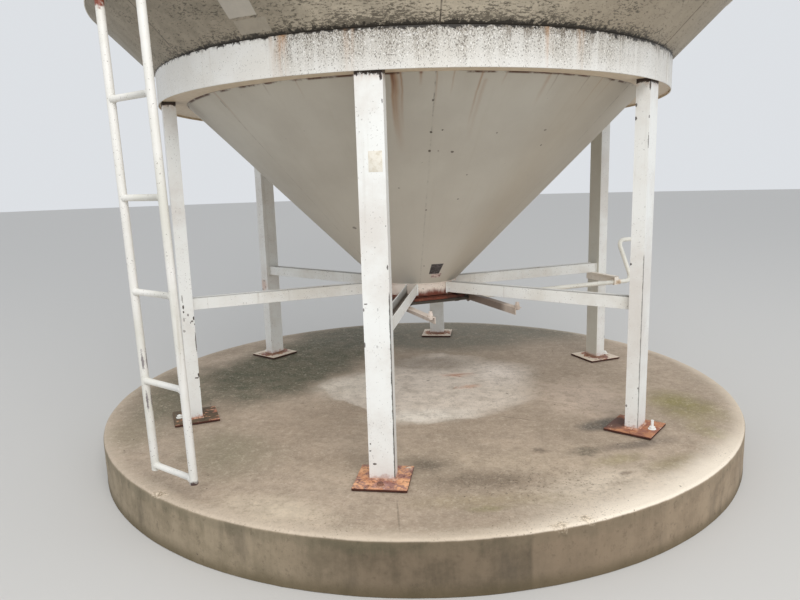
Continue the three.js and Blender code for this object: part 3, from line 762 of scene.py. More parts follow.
# Base plates
# Square flame-cut plates of thick steel on the concrete, bare and rusted, welded round the
# foot of each leg. A bolt cast in the pad holds each one down by a nut and washer.
PLATE_SIDE = 0.254
PLATE_THICKNESS = 0.014
PLATE_BOTTOM = PAD_TOP + AIR
PLATE_TOP = PLATE_BOTTOM + PLATE_THICKNESS
FOOT_WELD = 0.008
SUNK = 0.001
BOLT_OUT = 0.092
WASHER_RADIUS = 0.021
WASHER_TOP = 0.003
NUT_ACROSS = 0.028
NUT_TOP = 0.014
STUD_RADIUS = 0.0075
STUD_HEIGHTS = [0.016, 0.050, 0.022, 0.022, 0.022, 0.018]

plate_rust = new_material("rusted_plate")
rust = placed(rust_group, Fresh=(238, 182, 138), Old=(160, 96, 68), Grain=13.0)
color = rust["Color"]
parts = parted(place)
color = blend(span(parts["Y"], 0.2, 0.5, 0.0, 0.65), color, (118, 82, 66))
mauve = span(noise(place, 16.0, 6, 0.65), 0.48, 0.58, 0.0, 0.85)
color = blend(mauve, color, (146, 108, 104))
dark = noise(place, 34.0, 7, 0.75)
color = blend(span(dark, 0.545, 0.6, 0.0, 0.85), color, (92, 54, 44))
# The second plate is a redder brown, and a painted shadow darkens its inner corner beside the leg
redder = span(parts["X"], 0.7, 0.9) * span(parts["Y"], -0.2, -0.4, 0.0, 0.6)
color = blend(redder, color, (150, 92, 62))
plate_shadow = stain((1.055, -0.815, PLATE_TOP), (0.125, 0.11, 0.05), 30, 0.4, 0.25, 14.0)
color = blend(plate_shadow * 0.85, color, (78, 60, 58))
# The plates at the back have kept most of their paint, but not beside the leg
drawn_at = drawn_place()
off_leg = vector("SUBTRACT", drawn_at, (LEG_CIRCLE, 0, 0))
off_leg = length(stretched(off_leg, (1.0, 0.7, 0.0)))
kept = span(parts["Y"], -0.4, 0.3, -0.02, 0.24)
kept = kept + span(off_leg, 0.055, 0.12, -0.24, 0.02)
patch = noise(place, 26.0, 7, 0.7)
patch = span(patch + kept, 0.6, 0.64, 0.0, 0.95)
on_top = span(parts["Z"], PLATE_BOTTOM + 0.01, PLATE_BOTTOM + 0.0125)
color = blend(patch * on_top, color, (222, 208, 190))
# Mud dulls the one at the left
mud = span(parts["X"], -1.22, -1.34, 0.1, 0.16)
mud = span(noise(place, 18.0, 6) + mud, 0.52, 0.6)
mud = mud * span(parts["X"], -1.16, -1.22, 0.0, 0.92)
mud = mud * span(parts["Y"], 0.2, 0.0)
color = blend(mud, color, (82, 72, 54))
# On the first, the rust round the bolt is pale
pale = stain(on_leg(1, BOLT_OUT, 0.0, PLATE_TOP), (0.055, 0.04, 0.05), 0, 0.8, 0.25, 30.0)
color = blend(pale * 0.75, color, (196, 156, 146))
# The plate's sides are dark rust, darkened further as painted shade under the plate's edges
side_rust_and_shade = blend(dark, (96, 50, 34), (38, 22, 18))
color = blend(1.0 - on_top, color, side_rust_and_shade)
surfaced(color, 0.85, rust["Height"], 0.0012)

plate = block(
    "base_plate_1_steel",
    (LEG_CIRCLE - PLATE_SIDE / 2, -PLATE_SIDE / 2, PLATE_BOTTOM),
    (LEG_CIRCLE + PLATE_SIDE / 2, PLATE_SIDE / 2, PLATE_TOP),
)
rounded(plate, 0.0025, segments=2)
bpy.ops.object.mode_set(mode="EDIT")
bpy.ops.mesh.select_all(action="SELECT")
bpy.ops.mesh.subdivide(number_cuts=7)
tidied(50)
finished(plate, "DISPLACE", texture=lumps("rust_scale", 0.03), strength=0.0012, mid_level=1.0)
remember_place(plate)

weld_metal = new_material("rusted_weld")
rust = placed(rust_group, Fresh=(206, 158, 132), Old=(112, 70, 54), Grain=60.0)
left_paint = span(noise(place, 40.0, 6), 0.54, 0.62)
color = blend(left_paint, rust["Color"], (204, 176, 156))
behind = span(parted(place)["Y"], 0.2, 0.5, 0.0, 0.75)
color = blend(behind, color, (116, 88, 68))
# Painted shade darkens the middle of the first bolt, over its nut and stud
bolt_shade = stain(on_leg(1, BOLT_OUT, 0.0, PLATE_BOTTOM + 0.03), (0.02, 0.02, 0.03), 0, 0.4, 0.1, 60.0)
color = blend(bolt_shade * 0.7, color, (84, 50, 44))
surfaced(color, 0.8, rust["Height"], 0.001)

foot_weld = block(
    "foot_weld",
    (LEG_CIRCLE - LEG_DEPTH / 2 - FOOT_WELD, -LEG_WIDTH / 2 - FOOT_WELD, PLATE_TOP - SUNK),
    (LEG_CIRCLE + LEG_DEPTH / 2 + FOOT_WELD, LEG_WIDTH / 2 + FOOT_WELD, PLATE_TOP + FOOT_WELD),
)
chosen(foot_weld, "faces", lambda face: face.normal.z > 0.9)
bpy.ops.transform.resize(value=(0.83, 0.89, 1))
bpy.ops.mesh.select_all(action="SELECT")
bpy.ops.mesh.subdivide(number_cuts=9)
tidied(70)
finished(foot_weld, "DISPLACE", texture=lumps("weld_ripple", 0.010), strength=0.003)


def upright_bar(name, sides, radius, low, high, at):
    """A bar of so many sides standing on Z."""
    bpy.ops.object.select_all(action="DESELECT")
    bpy.ops.mesh.primitive_cylinder_add(
        vertices=sides, radius=radius, depth=high - low, location=(*at, (low + high) / 2)
    )
    return settled(name)


def hexagon(name, across_flats, low, high, at=(0, 0)):
    """A hexagon nut or head, its corners rounded, standing on Z."""
    piece = upright_bar(name, 6, across_flats / math.sqrt(3), low, high, at)
    return rounded(piece, across_flats * 0.05, segments=2)


def rod(name, radius, low, high, at=(0, 0), sides=20):
    """A round bar standing on Z, its ends chamfered."""
    piece = upright_bar(name, sides, radius, low, high, at)
    return rounded(piece, radius * 0.15, segments=2, sharper_than=50)


def as_one(name, *pieces):
    """Joins pieces that are fixed together into one mesh."""
    bpy.ops.object.select_all(action="DESELECT")
    for piece in pieces:
        piece.select_set(True)
    bpy.context.view_layer.objects.active = pieces[0]
    bpy.ops.object.join()
    pieces[0].name = name
    return pieces[0]


def anchor_bolt(name, stud_height):
    """Washer, nut and the end of the stud, over the plate."""
    at = (LEG_CIRCLE + BOLT_OUT, 0)
    return as_one(
        name,
        rod("washer", WASHER_RADIUS, PLATE_TOP - SUNK, PLATE_TOP + WASHER_TOP, at, 28),
        hexagon("nut", NUT_ACROSS, PLATE_TOP + WASHER_TOP, PLATE_TOP + NUT_TOP, at),
        rod("stud", STUD_RADIUS, PLATE_TOP, PLATE_TOP + stud_height, at),
    )


bolt_paint = new_material("bolt_paint")
coat = placed(paint_group, Wear=0.5, Chips=0.55, Runs=0.1)
coated(coat["Color"], coat)
for i in range(1, LEGS + 1):
    square = turned_to(copied(plate, f"base_plate_{i}_rusted"), leg_angle(i))
    dressed(square, plate_rust, "rusted_steel", f"base_plate_{i}")
    bead = turned_to(copied(foot_weld, f"foot_weld_{i}"), leg_angle(i))
    dressed(bead, weld_metal, "rusted_steel")
    bolt = turned_to(anchor_bolt(f"anchor_bolt_{i}", STUD_HEIGHTS[i - 1]), leg_angle(i))
    finish = (weld_metal, "rusted_steel") if i == 1 else (bolt_paint, "white_paint")
    dressed(bolt, *finish)
for draft in (plate, foot_weld):
    bpy.data.objects.remove(draft)


# Ring girder
# A rolled band on a flat flange that carries the hopper on the legs, welded from lengths and
# painted white. Mildew and dirt that run off the hopper have grown along its top.
RING_RADIUS = 1.516
RING_THICKNESS = 0.006
CONE_APEX = PAD_TOP + 0.467
RING_TOP = CONE_APEX + RING_RADIUS - RING_THICKNESS - AIR
FLANGE_START = FLANGE_BOTTOM - CONE_APEX + AIR
EDGE = 0.001


def round_axis():
    """Radius, angle in degrees round the axis, and height of the places coloured."""
    parts = parted(place)
    angle = calc("DEGREES", calc("ARCTAN2", parts["Y"], parts["X"]))
    return length(stretched(place, (1.0, 1.0, 0.0))), angle, parts["Z"]


ring_paint = new_material("ring_paint")
radius, angle, level = round_axis()
coat = placed(
    paint_group,
    Paint=(236, 235, 231),
    Faded=(226, 223, 216),
    Dirt=(176, 158, 132),
    Chips=0.18,
    Runs=0.45,
    Specks=0.3,
)
color = coat["Color"]
below_top = RING_TOP - level
# Salt and pepper mildew, thick from left of the front leg to the third quarter
drift = noise(stretched(place, (7.0, 7.0, 3.0)), 1.0, 4)
ragged_angle = angle + (drift - 0.5) * 16.0
left_end = span(ragged_angle, -115.0, -109.0)
right_end = span(ragged_angle, -34.0, -66.0, 0.3, 1.0)
crowd = left_end * right_end
crowd = crowd * span(level, RING_BOTTOM - 0.02, RING_BOTTOM + 0.1, 0.3, 1.0)
columns = noise(stretched(place, (24.0, 24.0, 1.2)), 1.0, 4, 0.6)
crowd = crowd * span(columns, 0.3, 0.66, 0.06, 0.16, smooth=False)
upper = span(below_top, 0.06, 0.0, 0.0, 0.06) * left_end
crowd = crowd + upper
pepper_place = stretched(place, (1.0, 1.0, 0.72))
pepper = noise(pepper_place, 215.0, 2, 0.55)
pepper = span(pepper + crowd, 0.665, 0.715)
salt = noise(vector("ADD", pepper_place, (3.0, 5.0, 7.0)), 150.0, 2, 0.5)
salt = span(salt + crowd, 0.69, 0.74, 0.0, 0.55)
grime = calc("MULTIPLY", crowd, 4.6, clamp=True)
color = blend(grime, color, (172, 164, 151))
color = blend(salt, color, (250, 248, 244))
color = blend(pepper * 0.74, color, (86, 77, 65))
# Short dark drips and a ragged black crust along the top
drips = noise(stretched(place, (42.0, 42.0, 2.5)), 1.0, 4, 0.6)
drip_share = span(angle, -96.0, -60.0, 0.25, 1.0)
reach = span(drips, 0.44, 0.74, 0.0, 0.085, smooth=False) * drip_share
drip = span(reach - below_top, -0.01, 0.012)
color = blend(drip * 0.5, color, (104, 90, 70))
crust = noise(place, 30.0, 8, 0.75)
crust = (crust - span(angle, -110.0, -95.0, 0.46, 0.4)) * 0.1
crust = span(crust - below_top, 0.0, 0.004)
color = blend(crust, color, (44, 38, 31))
# Rust beside the welds. A degree of the band is so many metres long
RING_DEGREE = 0.0262
for at, strength in ((-110.8, 0.85), (-112.4, 0.4), (-99.6, 0.35), (-67.4, 0.55), (-61.4, 0.35)):
    across = (angle - at) * RING_DEGREE
    across = across + (drift - 0.5) * 0.03
    beside = span(abs(across), 0.03, 0.004)
    beside = beside * span(drips, 0.35, 0.6)
    beside = beside * span(level, RING_BOTTOM + 0.01, RING_TOP - 0.02, 0.35, 1.0)
    color = blend(beside * strength, color, (188, 142, 98))
# The flange's underside, tan, with a brown joint against the hopper
flange_color = blend(drips, (234, 222, 200), (194, 170, 138))
flange = span(radius, RING_RADIUS - 0.003, RING_RADIUS - 0.005)
color = blend(flange, color, flange_color)
joint = span(radius - (FLANGE_BOTTOM - CONE_APEX), 0.009, 0.002)
joint = joint * span(noise(place, 9.0, 6), 0.36, 0.6, 0.0, 0.85)
color = blend(joint, color, (78, 48, 30))
coated(color, coat)

ring = turned(
    "ring_girder_rolled",
    [
        (FLANGE_START, FLANGE_BOTTOM),
        (RING_RADIUS - RING_THICKNESS, FLANGE_BOTTOM),
        (RING_RADIUS - RING_THICKNESS, RING_BOTTOM + EDGE),
        (RING_RADIUS - RING_THICKNESS + EDGE, RING_BOTTOM),
        (RING_RADIUS - 1.5 * EDGE, RING_BOTTOM),
        (RING_RADIUS, RING_BOTTOM + 1.5 * EDGE),
        (RING_RADIUS, RING_TOP - 0.05),
        (RING_RADIUS, RING_TOP - EDGE),
        (RING_RADIUS - EDGE, RING_TOP),
        (RING_RADIUS - RING_THICKNESS, RING_TOP),
        (RING_RADIUS - RING_THICKNESS, FLANGE_BOTTOM + RING_THICKNESS),
        (FLANGE_START + RING_THICKNESS, FLANGE_BOTTOM + RING_THICKNESS),
        (FLANGE_START, FLANGE_BOTTOM),
    ],
)
dressed(ring, ring_paint, "white_paint", "ring_girder")


def seam_bead(name, points, radius):
    """A weld bead: a rippled half-round run along a line of points."""
    line = bpy.data.curves.new(name, "CURVE")
    line.dimensions = "3D"
    run = line.splines.new("POLY")
    run.points.add(len(points) - 1)
    for point, corner in zip(run.points, points):
        point.co = (*corner, 1)
    line.bevel_depth = radius
    line.bevel_resolution = 2
    line.use_fill_caps = True
    piece = bpy.data.objects.new(name, line)
    bpy.context.scene.collection.objects.link(piece)
    picked(piece)
    bpy.ops.object.convert(target="MESH")
    finished(piece, "DISPLACE", texture=lumps(name + "_ripple", 0.012), strength=radius * 0.5)
    bpy.ops.object.shade_smooth_by_angle(angle=math.radians(70))
    return bpy.context.object


RING_WELDS = [-30.4, -61.4, -110.8, -170, 130, 70, 10]
WELD_START = RING_BOTTOM + 0.004
WELD_STEP = 0.005
WELD_THICKNESS = 0.0028
for i, weld_angle in enumerate(RING_WELDS):
    line = [(RING_RADIUS - SUNK, 0, WELD_START + WELD_STEP * step) for step in range(31)]
    bead = seam_bead(f"ring_weld_{i + 1}", line, WELD_THICKNESS)
    turned_to(bead, weld_angle)
    dressed(bead, ring_paint, "white_paint")


# Hopper
# Seven rolled gores of sheet steel, butt welded into a 45 degree cone and painted. In the
# silo's own shade it looks a warm grey, with rust runs from the ring's joint and mildew above.
HUB_RADIUS = 0.260
WALL_RADIUS = 1.829
CONE_THICKNESS = 0.005
CONE_UPRIGHT = CONE_THICKNESS * math.sqrt(2)
GORES = 7
FIRST_GORE = -85.5
GORE_STEPS = 36
SEAM_SUNK = 0.0018
SEAM_THICKNESS = 0.003
SEAM_GAP = 0.01
CONE_FOOT = CONE_APEX + HUB_RADIUS + AIR
WALL_BOTTOM = CONE_APEX + WALL_RADIUS

# A rust run: a thin line down the cone from where it starts to where it fades
run_group, come, go = new_group(
    "rust_run",
    {
        "Radius": ("Float", 1.0),
        "Angle": ("Float", 0.0),
        "At": ("Float", 0.0),
        "HalfWidth": ("Float", 0.006),
        "Start": ("Float", 1.33),
        "End": ("Float", 1.1),
        "Waver": ("Float", 0.5),
    },
    {"Mask": "Float"},
)
across = calc("RADIANS", come["Angle"] - come["At"]) * come["Radius"]
across = abs(across + (come["Waver"] - 0.5) * 0.03)
line = calc("SUBTRACT", 1.0, across / come["HalfWidth"], clamp=True)
down = come["Radius"] - come["End"]
down = calc("DIVIDE", down, come["Start"] - come["End"], clamp=True)
above = span(come["Radius"] - come["Start"], 0.012, 0.0)
fill(go, {"Mask": line * down * above})

hopper_paint = new_material("hopper_paint")
radius, angle, level = round_axis()
direction = vector("NORMALIZE", stretched(place, (1.0, 1.0, 0.0)))
tilt = put("CombineXYZ", {2: level * 0.6})
run_place = vector("ADD", stretched(direction, (11.0, 11.0, 0.0)), tilt)
fade = noise(place, 2.3, 6, 0.6)
faint_runs = noise(run_place, 3.0, 6, 0.65)
color = blend(span(fade, 0.3, 0.7), (199, 194, 182), (189, 183, 171))
# Painted light: the cone is lighter towards the outlet, where light from the pale pad below falls
outlet_light = span(radius, 1.0, 0.35)
color = blend(outlet_light * 0.7, color, (216, 211, 200))
color = blend(span(faint_runs, 0.52, 0.76, 0.0, 0.1), color, (160, 146, 122))
color = blend(span(angle, -66.0, -46.0, 0.0, 0.35), color, (184, 169, 145))
# Above the ring it has weathered darker, and mildew lies on it in short level dashes
above_ring = span(radius, 1.5, 1.51)
weather = span(noise(place, 9.0, 8, 0.75), 0.36, 0.64)
upper = blend(weather, (203, 191, 170), (178, 167, 148))
upper = blend(span(angle, -76.0, -52.0, 0.0, 0.65), upper, (154, 140, 119))
upper_left = blend(weather, (158, 147, 129), (138, 129, 112))
upper = blend(span(angle, -98.0, -116.0), upper, upper_left)
color = blend(above_ring, color, upper)
# Two rectangles up there are where labels kept it clean. A degree is so many metres there
LABEL_DEGREE = 0.028
square = 0.0
for at, half_turn, middle, half_height in ((-116.0, 2.6, 1.618, 0.032), (-115.2, 3.0, 1.553, 0.024)):
    turned_off = (abs(angle - at) - half_turn) * LABEL_DEGREE
    off_end = abs(radius - middle) - half_height
    clean = span(calc("MAXIMUM", turned_off, off_end), 0.002, -0.002)
    share = 0.5 if middle > 1.6 else 0.12
    color = blend(clean * share, color, (212, 206, 196))
    square = calc("MAXIMUM", square, clean)
front = span(angle, -150.0, -106.0, 0.3, 1.0) * span(angle, -34.0, -70.0, 0.45, 1.0)
upward = stretched(place, (0.0, 0.0, 165.0))
dash_place = vector("ADD", stretched(direction, (76.0, 76.0, 0.0)), upward)
dashes = noise(dash_place, 1.0, 7, 0.75)
groups = noise(stretched(place, (1.0, 1.0, 2.0)), 5.5, 4, 0.6)
crowd = front * 0.06 + groups * 0.28
close = span(radius, 1.575, 1.514, 0.0, 0.11)
crowd = crowd + close * span(front, 0.0, 1.0, 0.5, 1.0)
mold = span(dashes + crowd, 0.73, 0.785)
mold = mold * above_ring * (1.0 - square)
color = blend(mold * 0.78, color, (64, 57, 45))
crust = noise(place, 46.0, 8, 0.78)
crust = crust - span(front, 0.0, 1.0, 0.46, 0.34)
crust = crust * span(front, 0.0, 1.0, 0.07, 0.085)
crust = crust - (radius - (RING_RADIUS - 0.003))
crust = span(crust, 0.0, 0.006)
color = blend(crust * above_ring, color, (46, 40, 32))
# At degrees, half width, start radius, end radius, strength
RUN_START = FLANGE_BOTTOM - CONE_APEX - 0.002
OCHRE = (156, 110, 68)
BLOOD = (104, 56, 36)
RUST_RUNS = [
    (-93.2, 0.025, RUN_START, 1.02, 0.80, OCHRE),
    (-93.8, 0.010, RUN_START, 1.10, 0.80, OCHRE),
    (-92.0, 0.008, RUN_START, 1.12, 0.70, OCHRE),
    (-93.6, 0.012, RUN_START, 1.27, 0.85, BLOOD),
    (-88.4, 0.010, RUN_START, 1.30, 0.60, OCHRE),
    (-88.4, 0.012, RUN_START, 1.345, 0.8, BLOOD),
    (-85.4, 0.006, RUN_START, 1.20, 0.50, OCHRE),
    (-82.2, 0.006, RUN_START, 1.26, 0.5, OCHRE),
    (-76.8, 0.008, RUN_START, 1.12, 0.65, OCHRE),
    (-75.8, 0.014, 1.320, 1.06, 0.3, OCHRE),
    (-72.2, 0.006, RUN_START, 1.30, 0.4, OCHRE),
    (-62.2, 0.016, RUN_START, 1.22, 0.45, OCHRE),
    (-60.2, 0.006, RUN_START, 1.26, 0.4, BLOOD),
    (-51.8, 0.006, RUN_START, 1.26, 0.4, BLOOD),
    (-47.4, 0.007, RUN_START, 1.20, 0.45, OCHRE),
    (-43.8, 0.007, RUN_START, 1.24, 0.35, OCHRE),
    (-112.6, 0.006, RUN_START, 1.27, 0.3, OCHRE),
    (-120.6, 0.006, RUN_START, 1.30, 0.35, BLOOD),
    (-136.6, 0.010, RUN_START, 1.16, 0.45, OCHRE),
    (-160.0, 0.009, RUN_START, 1.10, 0.5, OCHRE),
    (165.0, 0.007, RUN_START, 1.15, 0.5, OCHRE),
    (128.0, 0.009, RUN_START, 1.12, 0.5, OCHRE),
    (96.0, 0.007, RUN_START, 1.18, 0.5, OCHRE),
    (61.0, 0.008, RUN_START, 1.10, 0.5, OCHRE),
    (27.0, 0.007, RUN_START, 1.20, 0.5, OCHRE),
    (-11.0, 0.008, RUN_START, 1.14, 0.5, OCHRE),
]
waver = noise(place, 5.0, 3)
for at, half_width, start, end, strength, tone in RUST_RUNS:
    line = {"At": at, "HalfWidth": half_width, "Start": start, "End": end, "Waver": waver}
    rusty = placed(run_group, Radius=radius, Angle=angle, **line)["Mask"]
    color = blend(rusty * strength, color, tone)
joint = span(radius, RUN_START - 0.008, RUN_START - 0.001)
joint = joint * span(radius, 1.5, 1.4)
joint_rust = span(noise(place, 6.0, 5), 0.46, 0.56)
color = blend(joint * joint_rust, color, (86, 56, 38))
specks = noise(place, 80.0, 2)
sparse = span(noise(place, 4.0), 0.5, 0.62)
specks = span(specks, 0.735, 0.765) * sparse
color = blend(specks * 0.8, color, (82, 70, 58))
# Spots on the front of the cone: degrees, radius, half width, half height, strength
CONE_SPOTS = [
    (-85.7, 1.248, 0.006, 0.012, 0.8),
    (-82.9, 1.126, 0.006, 0.006, 0.8),
    (-85.6, 1.118, 0.008, 0.007, 0.9),
    (-85.7, 1.035, 0.008, 0.010, 0.9),
    (-79.3, 1.028, 0.010, 0.006, 0.8),
    (-83.3, 1.034, 0.005, 0.005, 0.5),
    (-95.3, 0.860, 0.005, 0.005, 0.6),
    (-72.8, 0.916, 0.006, 0.006, 0.6),
    (-73.0, 0.792, 0.006, 0.006, 0.6),
    (-85.3, 0.738, 0.006, 0.007, 0.8),
    (-68.6, 1.110, 0.006, 0.006, 0.6),
    (-51.6, 1.056, 0.006, 0.010, 0.8),
    (-54.1, 1.125, 0.010, 0.005, 0.6),
    (-123.0, 0.638, 0.016, 0.010, 0.6),
    (-83.1, 0.389, 0.005, 0.006, 0.7),
]
for at, out, half_width, half_height, strength in CONE_SPOTS:
    turn = math.radians(at)
    middle = (out * math.cos(turn), out * math.sin(turn), CONE_APEX + out)
    spot = stain(middle, (half_width, half_width, half_height), 0, 0.3, 0.3, 90.0)
    color = blend(spot * strength, color, (74, 62, 52))
# Thin dirt lines where the gores are welded
seam_angle = angle - FIRST_GORE
turn_share = calc("WRAP", seam_angle, 180 / GORES, -180 / GORES)
seam_off = abs(calc("RADIANS", turn_share)) * radius
seam = span(seam_off, 0.005, 0.002)
seam_dark = span(noise(place, 24.0, 5, 0.7), 0.42, 0.62, 0.05, 0.5)
seam_dark = seam_dark * span(radius, 0.95, 1.33, 0.35, 1.0)
seam_dark = calc("ADD", seam_dark, above_ring * 0.5, clamp=True)
color = blend(seam * seam_dark, color, (70, 60, 50))
height = noise(place, 60.0, 3) + fade * 0.5
surfaced(color, span(fade, 0.3, 0.7, 0.5, 0.62), height, 0.0006)


def rolled_sheet(name, outline, start, degrees, steps, gap=0.0):
    """A closed [radius, height] outline, filled and spun through part of a turn."""
    turn = math.radians(start + gap)
    corners = [(r * math.cos(turn), r * math.sin(turn), z) for r, z in outline]
    piece = drawn(name, [*corners, corners[0]])
    bpy.ops.mesh.edge_face_add()
    angle = -math.radians(degrees - 2 * gap)
    bpy.ops.mesh.spin(steps=steps, angle=angle, center=(0, 0, 0), axis=(0, 0, 1))
    tidied(30)
    return piece


def finer_line(points, parts):
    """The same line without its last point, each length cut into equal parts."""
    pairs = [(Vector(a), Vector(b)) for a, b in zip(points, points[1:])]
    return [a.lerp(b, k / parts) for a, b in pairs for k in range(parts)]


RINGS_UP = 24
GORE_START = HUB_RADIUS + AIR
gore_out = []
for ring in range(RINGS_UP + 1):
    share = ring / RINGS_UP
    radius_there = GORE_START + (WALL_RADIUS - GORE_START) * share
    gore_out.append((radius_there, CONE_FOOT + (WALL_BOTTOM - CONE_FOOT) * share))
gore_in = [(r - CONE_UPRIGHT, z) for r, z in reversed(gore_out)]
GORE_TURN = 360 / GORES
for i in range(GORES):
    start = FIRST_GORE + GORE_TURN * i
    name = f"hopper_gore_{i + 1}_rolled"
    gore = rolled_sheet(name, gore_out + gore_in, start, GORE_TURN, GORE_STEPS, SEAM_GAP)
    finished(gore, "DISPLACE", texture=lumps(f"rolled_{i}", 0.6), strength=0.004, mid_level=0.5)
    dressed(gore, hopper_paint, "hopper_paint", f"hopper_gore_{i + 1}")
    line = finer_line([(r - SEAM_SUNK, 0, z + SEAM_SUNK) for r, z in gore_out], 8)
    seam = turned_to(seam_bead(f"hopper_seam_{i + 1}", line, SEAM_THICKNESS), start)
    dressed(seam, hopper_paint, "hopper_paint")

# A small data plate on the front, worn blank, with a faded strip under it
TAG_OUT = 0.0007
TAG_SUNK = 0.0002
for name, high, low, start, turn, tone, worn in (
    ("blank_data_plate", 0.398, 0.330, -76.6, 11.2, (62, 57, 60), (104, 98, 100)),
    ("blank_strip", 0.329, 0.302, -73.4, 11.4, (222, 204, 199), (146, 112, 106)),
):
    skin = new_material(name)
    rubbed = noise(place, 50.0, 6, 0.75)
    surfaced(blend(span(rubbed, 0.45, 0.62), tone, worn), 0.5, rubbed, 0.0004)
    face = [(high + TAG_OUT, high - TAG_OUT), (low + TAG_OUT, low - TAG_OUT)]
    back = [(low - TAG_SUNK, low + TAG_SUNK), (high - TAG_SUNK, high + TAG_SUNK)]
    outline = [(r, CONE_APEX + z) for r, z in face + back]
    tag = rolled_sheet(name + "_tag", outline, start, turn, 8)
    dressed(tag, skin, "dark_steel")


# Spokes
# Six rolled channels, open side up, that tie the feet of the hopper to the legs. They are
# painted white like the legs and welded at both ends.
SPOKE_WIDTH = 0.066
SPOKE_HEIGHT = 0.066
SPOKE_THICKNESS = 0.005
SPOKE_WELD = 0.004
HUB_TOP = CONE_APEX + HUB_RADIUS
SPOKE_TOP = HUB_TOP - 0.001
SPOKE_BOTTOM = SPOKE_TOP - SPOKE_HEIGHT
SPOKE_START = HUB_RADIUS + AIR
SPOKE_END = LEG_CIRCLE - LEG_DEPTH / 2 - AIR


def extruded(name, corners, run, smooth_below=35):
    """A closed outline of points, filled and pulled out along a run."""
    piece = drawn(name, [*corners, corners[0]])
    bpy.ops.mesh.edge_face_add()
    bpy.ops.mesh.extrude_region_move(TRANSFORM_OT_translate={"value": run})
    tidied(smooth_below)
    return piece


spoke_paint = new_material("spoke_paint")
middle = (0, 0, (SPOKE_TOP + SPOKE_BOTTOM) / 2)
drawn_at = drawn_place()
parts = inside_of(middle, (9, SPOKE_WIDTH / 2, SPOKE_HEIGHT / 2), drawn_at)
wear = span(calc("MAXIMUM", parts["Y"], parts["Z"]), 0.01, 0.0)
coat = placed(
    paint_group,
    Paint=(240, 241, 238),
    Faded=(224, 221, 213),
    Wear=wear * 0.6,
    Chips=0.32,
    Runs=0.3,
)
# Dirt and painted shade darken the hollow, most of all low down
depth = parted(vector("SUBTRACT", (0, 0, SPOKE_TOP), drawn_at))["Z"]
hollow_dirt_and_shade = span(depth, 0.004, 0.007, 0.0, 0.36) + span(depth, 0.028, 0.05, 0.0, 0.55)
hollow_dirt_and_shade = hollow_dirt_and_shade * span(parts["Y"], 0.004, 0.0048)
hollow_dirt_and_shade = hollow_dirt_and_shade * span(depth, 0.064, 0.062)
color = blend(hollow_dirt_and_shade, coat["Color"], (96, 82, 72))
coated(color, coat)

half = SPOKE_WIDTH / 2
inner = half - SPOKE_THICKNESS
floor_top = SPOKE_BOTTOM + SPOKE_THICKNESS
channel = [(-half, SPOKE_BOTTOM), (half, SPOKE_BOTTOM), (half, SPOKE_TOP), (inner, SPOKE_TOP)]
channel += [(inner, floor_top), (-inner, floor_top), (-inner, SPOKE_TOP), (-half, SPOKE_TOP)]
spoke = extruded(
    "spoke_draft",
    [(SPOKE_START, y, z) for y, z in channel],
    (SPOKE_END - SPOKE_START, 0, 0),
)
rounded(spoke, 0.0016, segments=2)
remember_place(spoke)


def end_bead(name, x):
    """A lumpy fillet round the outside of a spoke where it meets another face."""
    low = SPOKE_BOTTOM - SPOKE_WELD
    side = half + SPOKE_WELD
    points = [(x, -side, SPOKE_TOP), (x, -side, low), (x, side, low), (x, side, SPOKE_TOP)]
    return seam_bead(name, [*finer_line(points, 12), Vector(points[-1])], SPOKE_WELD)


spoke_welds = as_one(
    "spoke_weld_draft", end_bead("outer", SPOKE_END - 0.001), end_bead("inner", SPOKE_START + 0.002)
)
remember_place(spoke_welds)
for i in range(1, LEGS + 1):
    tie = turned_to(copied(spoke, f"spoke_{i}_channel"), leg_angle(i))
    dressed(tie, spoke_paint, "white_paint", f"spoke_{i}")
    beads = turned_to(copied(spoke_welds, f"spoke_welds_{i}"), leg_angle(i))
    dressed(beads, spoke_paint, "white_paint")
for draft in (spoke, spoke_welds):
    bpy.data.objects.remove(draft)


# Outlet hub
# A short rolled collar at the cone's foot. It is painted above, where the spokes meet it, and
# has rusted orange below, where the gate's frame is welded on.
HUB_BOTTOM = PAD_TOP + 0.656
HUB_THICKNESS = 0.006
LEVEL_WELD = 0.0035


def level_bead(name, radius, height, steps, thickness):
    """A weld bead all the way round, at one height."""
    turns = [FULL_TURN * k / steps for k in range(steps + 1)]
    circle = [(radius * math.cos(turn), radius * math.sin(turn), height) for turn in turns]
    return seam_bead(name, circle, thickness)


hub_rust = new_material("hub_rust")
radius, angle, level = round_axis()
coat = placed(paint_group, Paint=(236, 224, 212), Faded=(214, 196, 180), Chips=0.5)
rust = placed(rust_group, Fresh=(212, 162, 128), Old=(156, 98, 74), Grain=22.0)
border = noise(stretched(place, (1.0, 1.0, 0.35)), 14.0, 7, 0.65)
border = level + border * 0.1
border = border + span(angle, -70.0, -100.0, 0.006, 0.036)
rusted = span(border, PAD_TOP + 0.762, PAD_TOP + 0.718)
deep = span(level, PAD_TOP + 0.706, PAD_TOP + 0.682, 0.0, 0.9)
color = blend(deep, rust["Color"], (106, 48, 38))
color = blend(rusted, coat["Color"], color)
height = coat["Height"] + rust["Height"] * rusted
surfaced(color, span(rusted, 0.0, 1.0, 0.55, 0.85), height, 0.001)

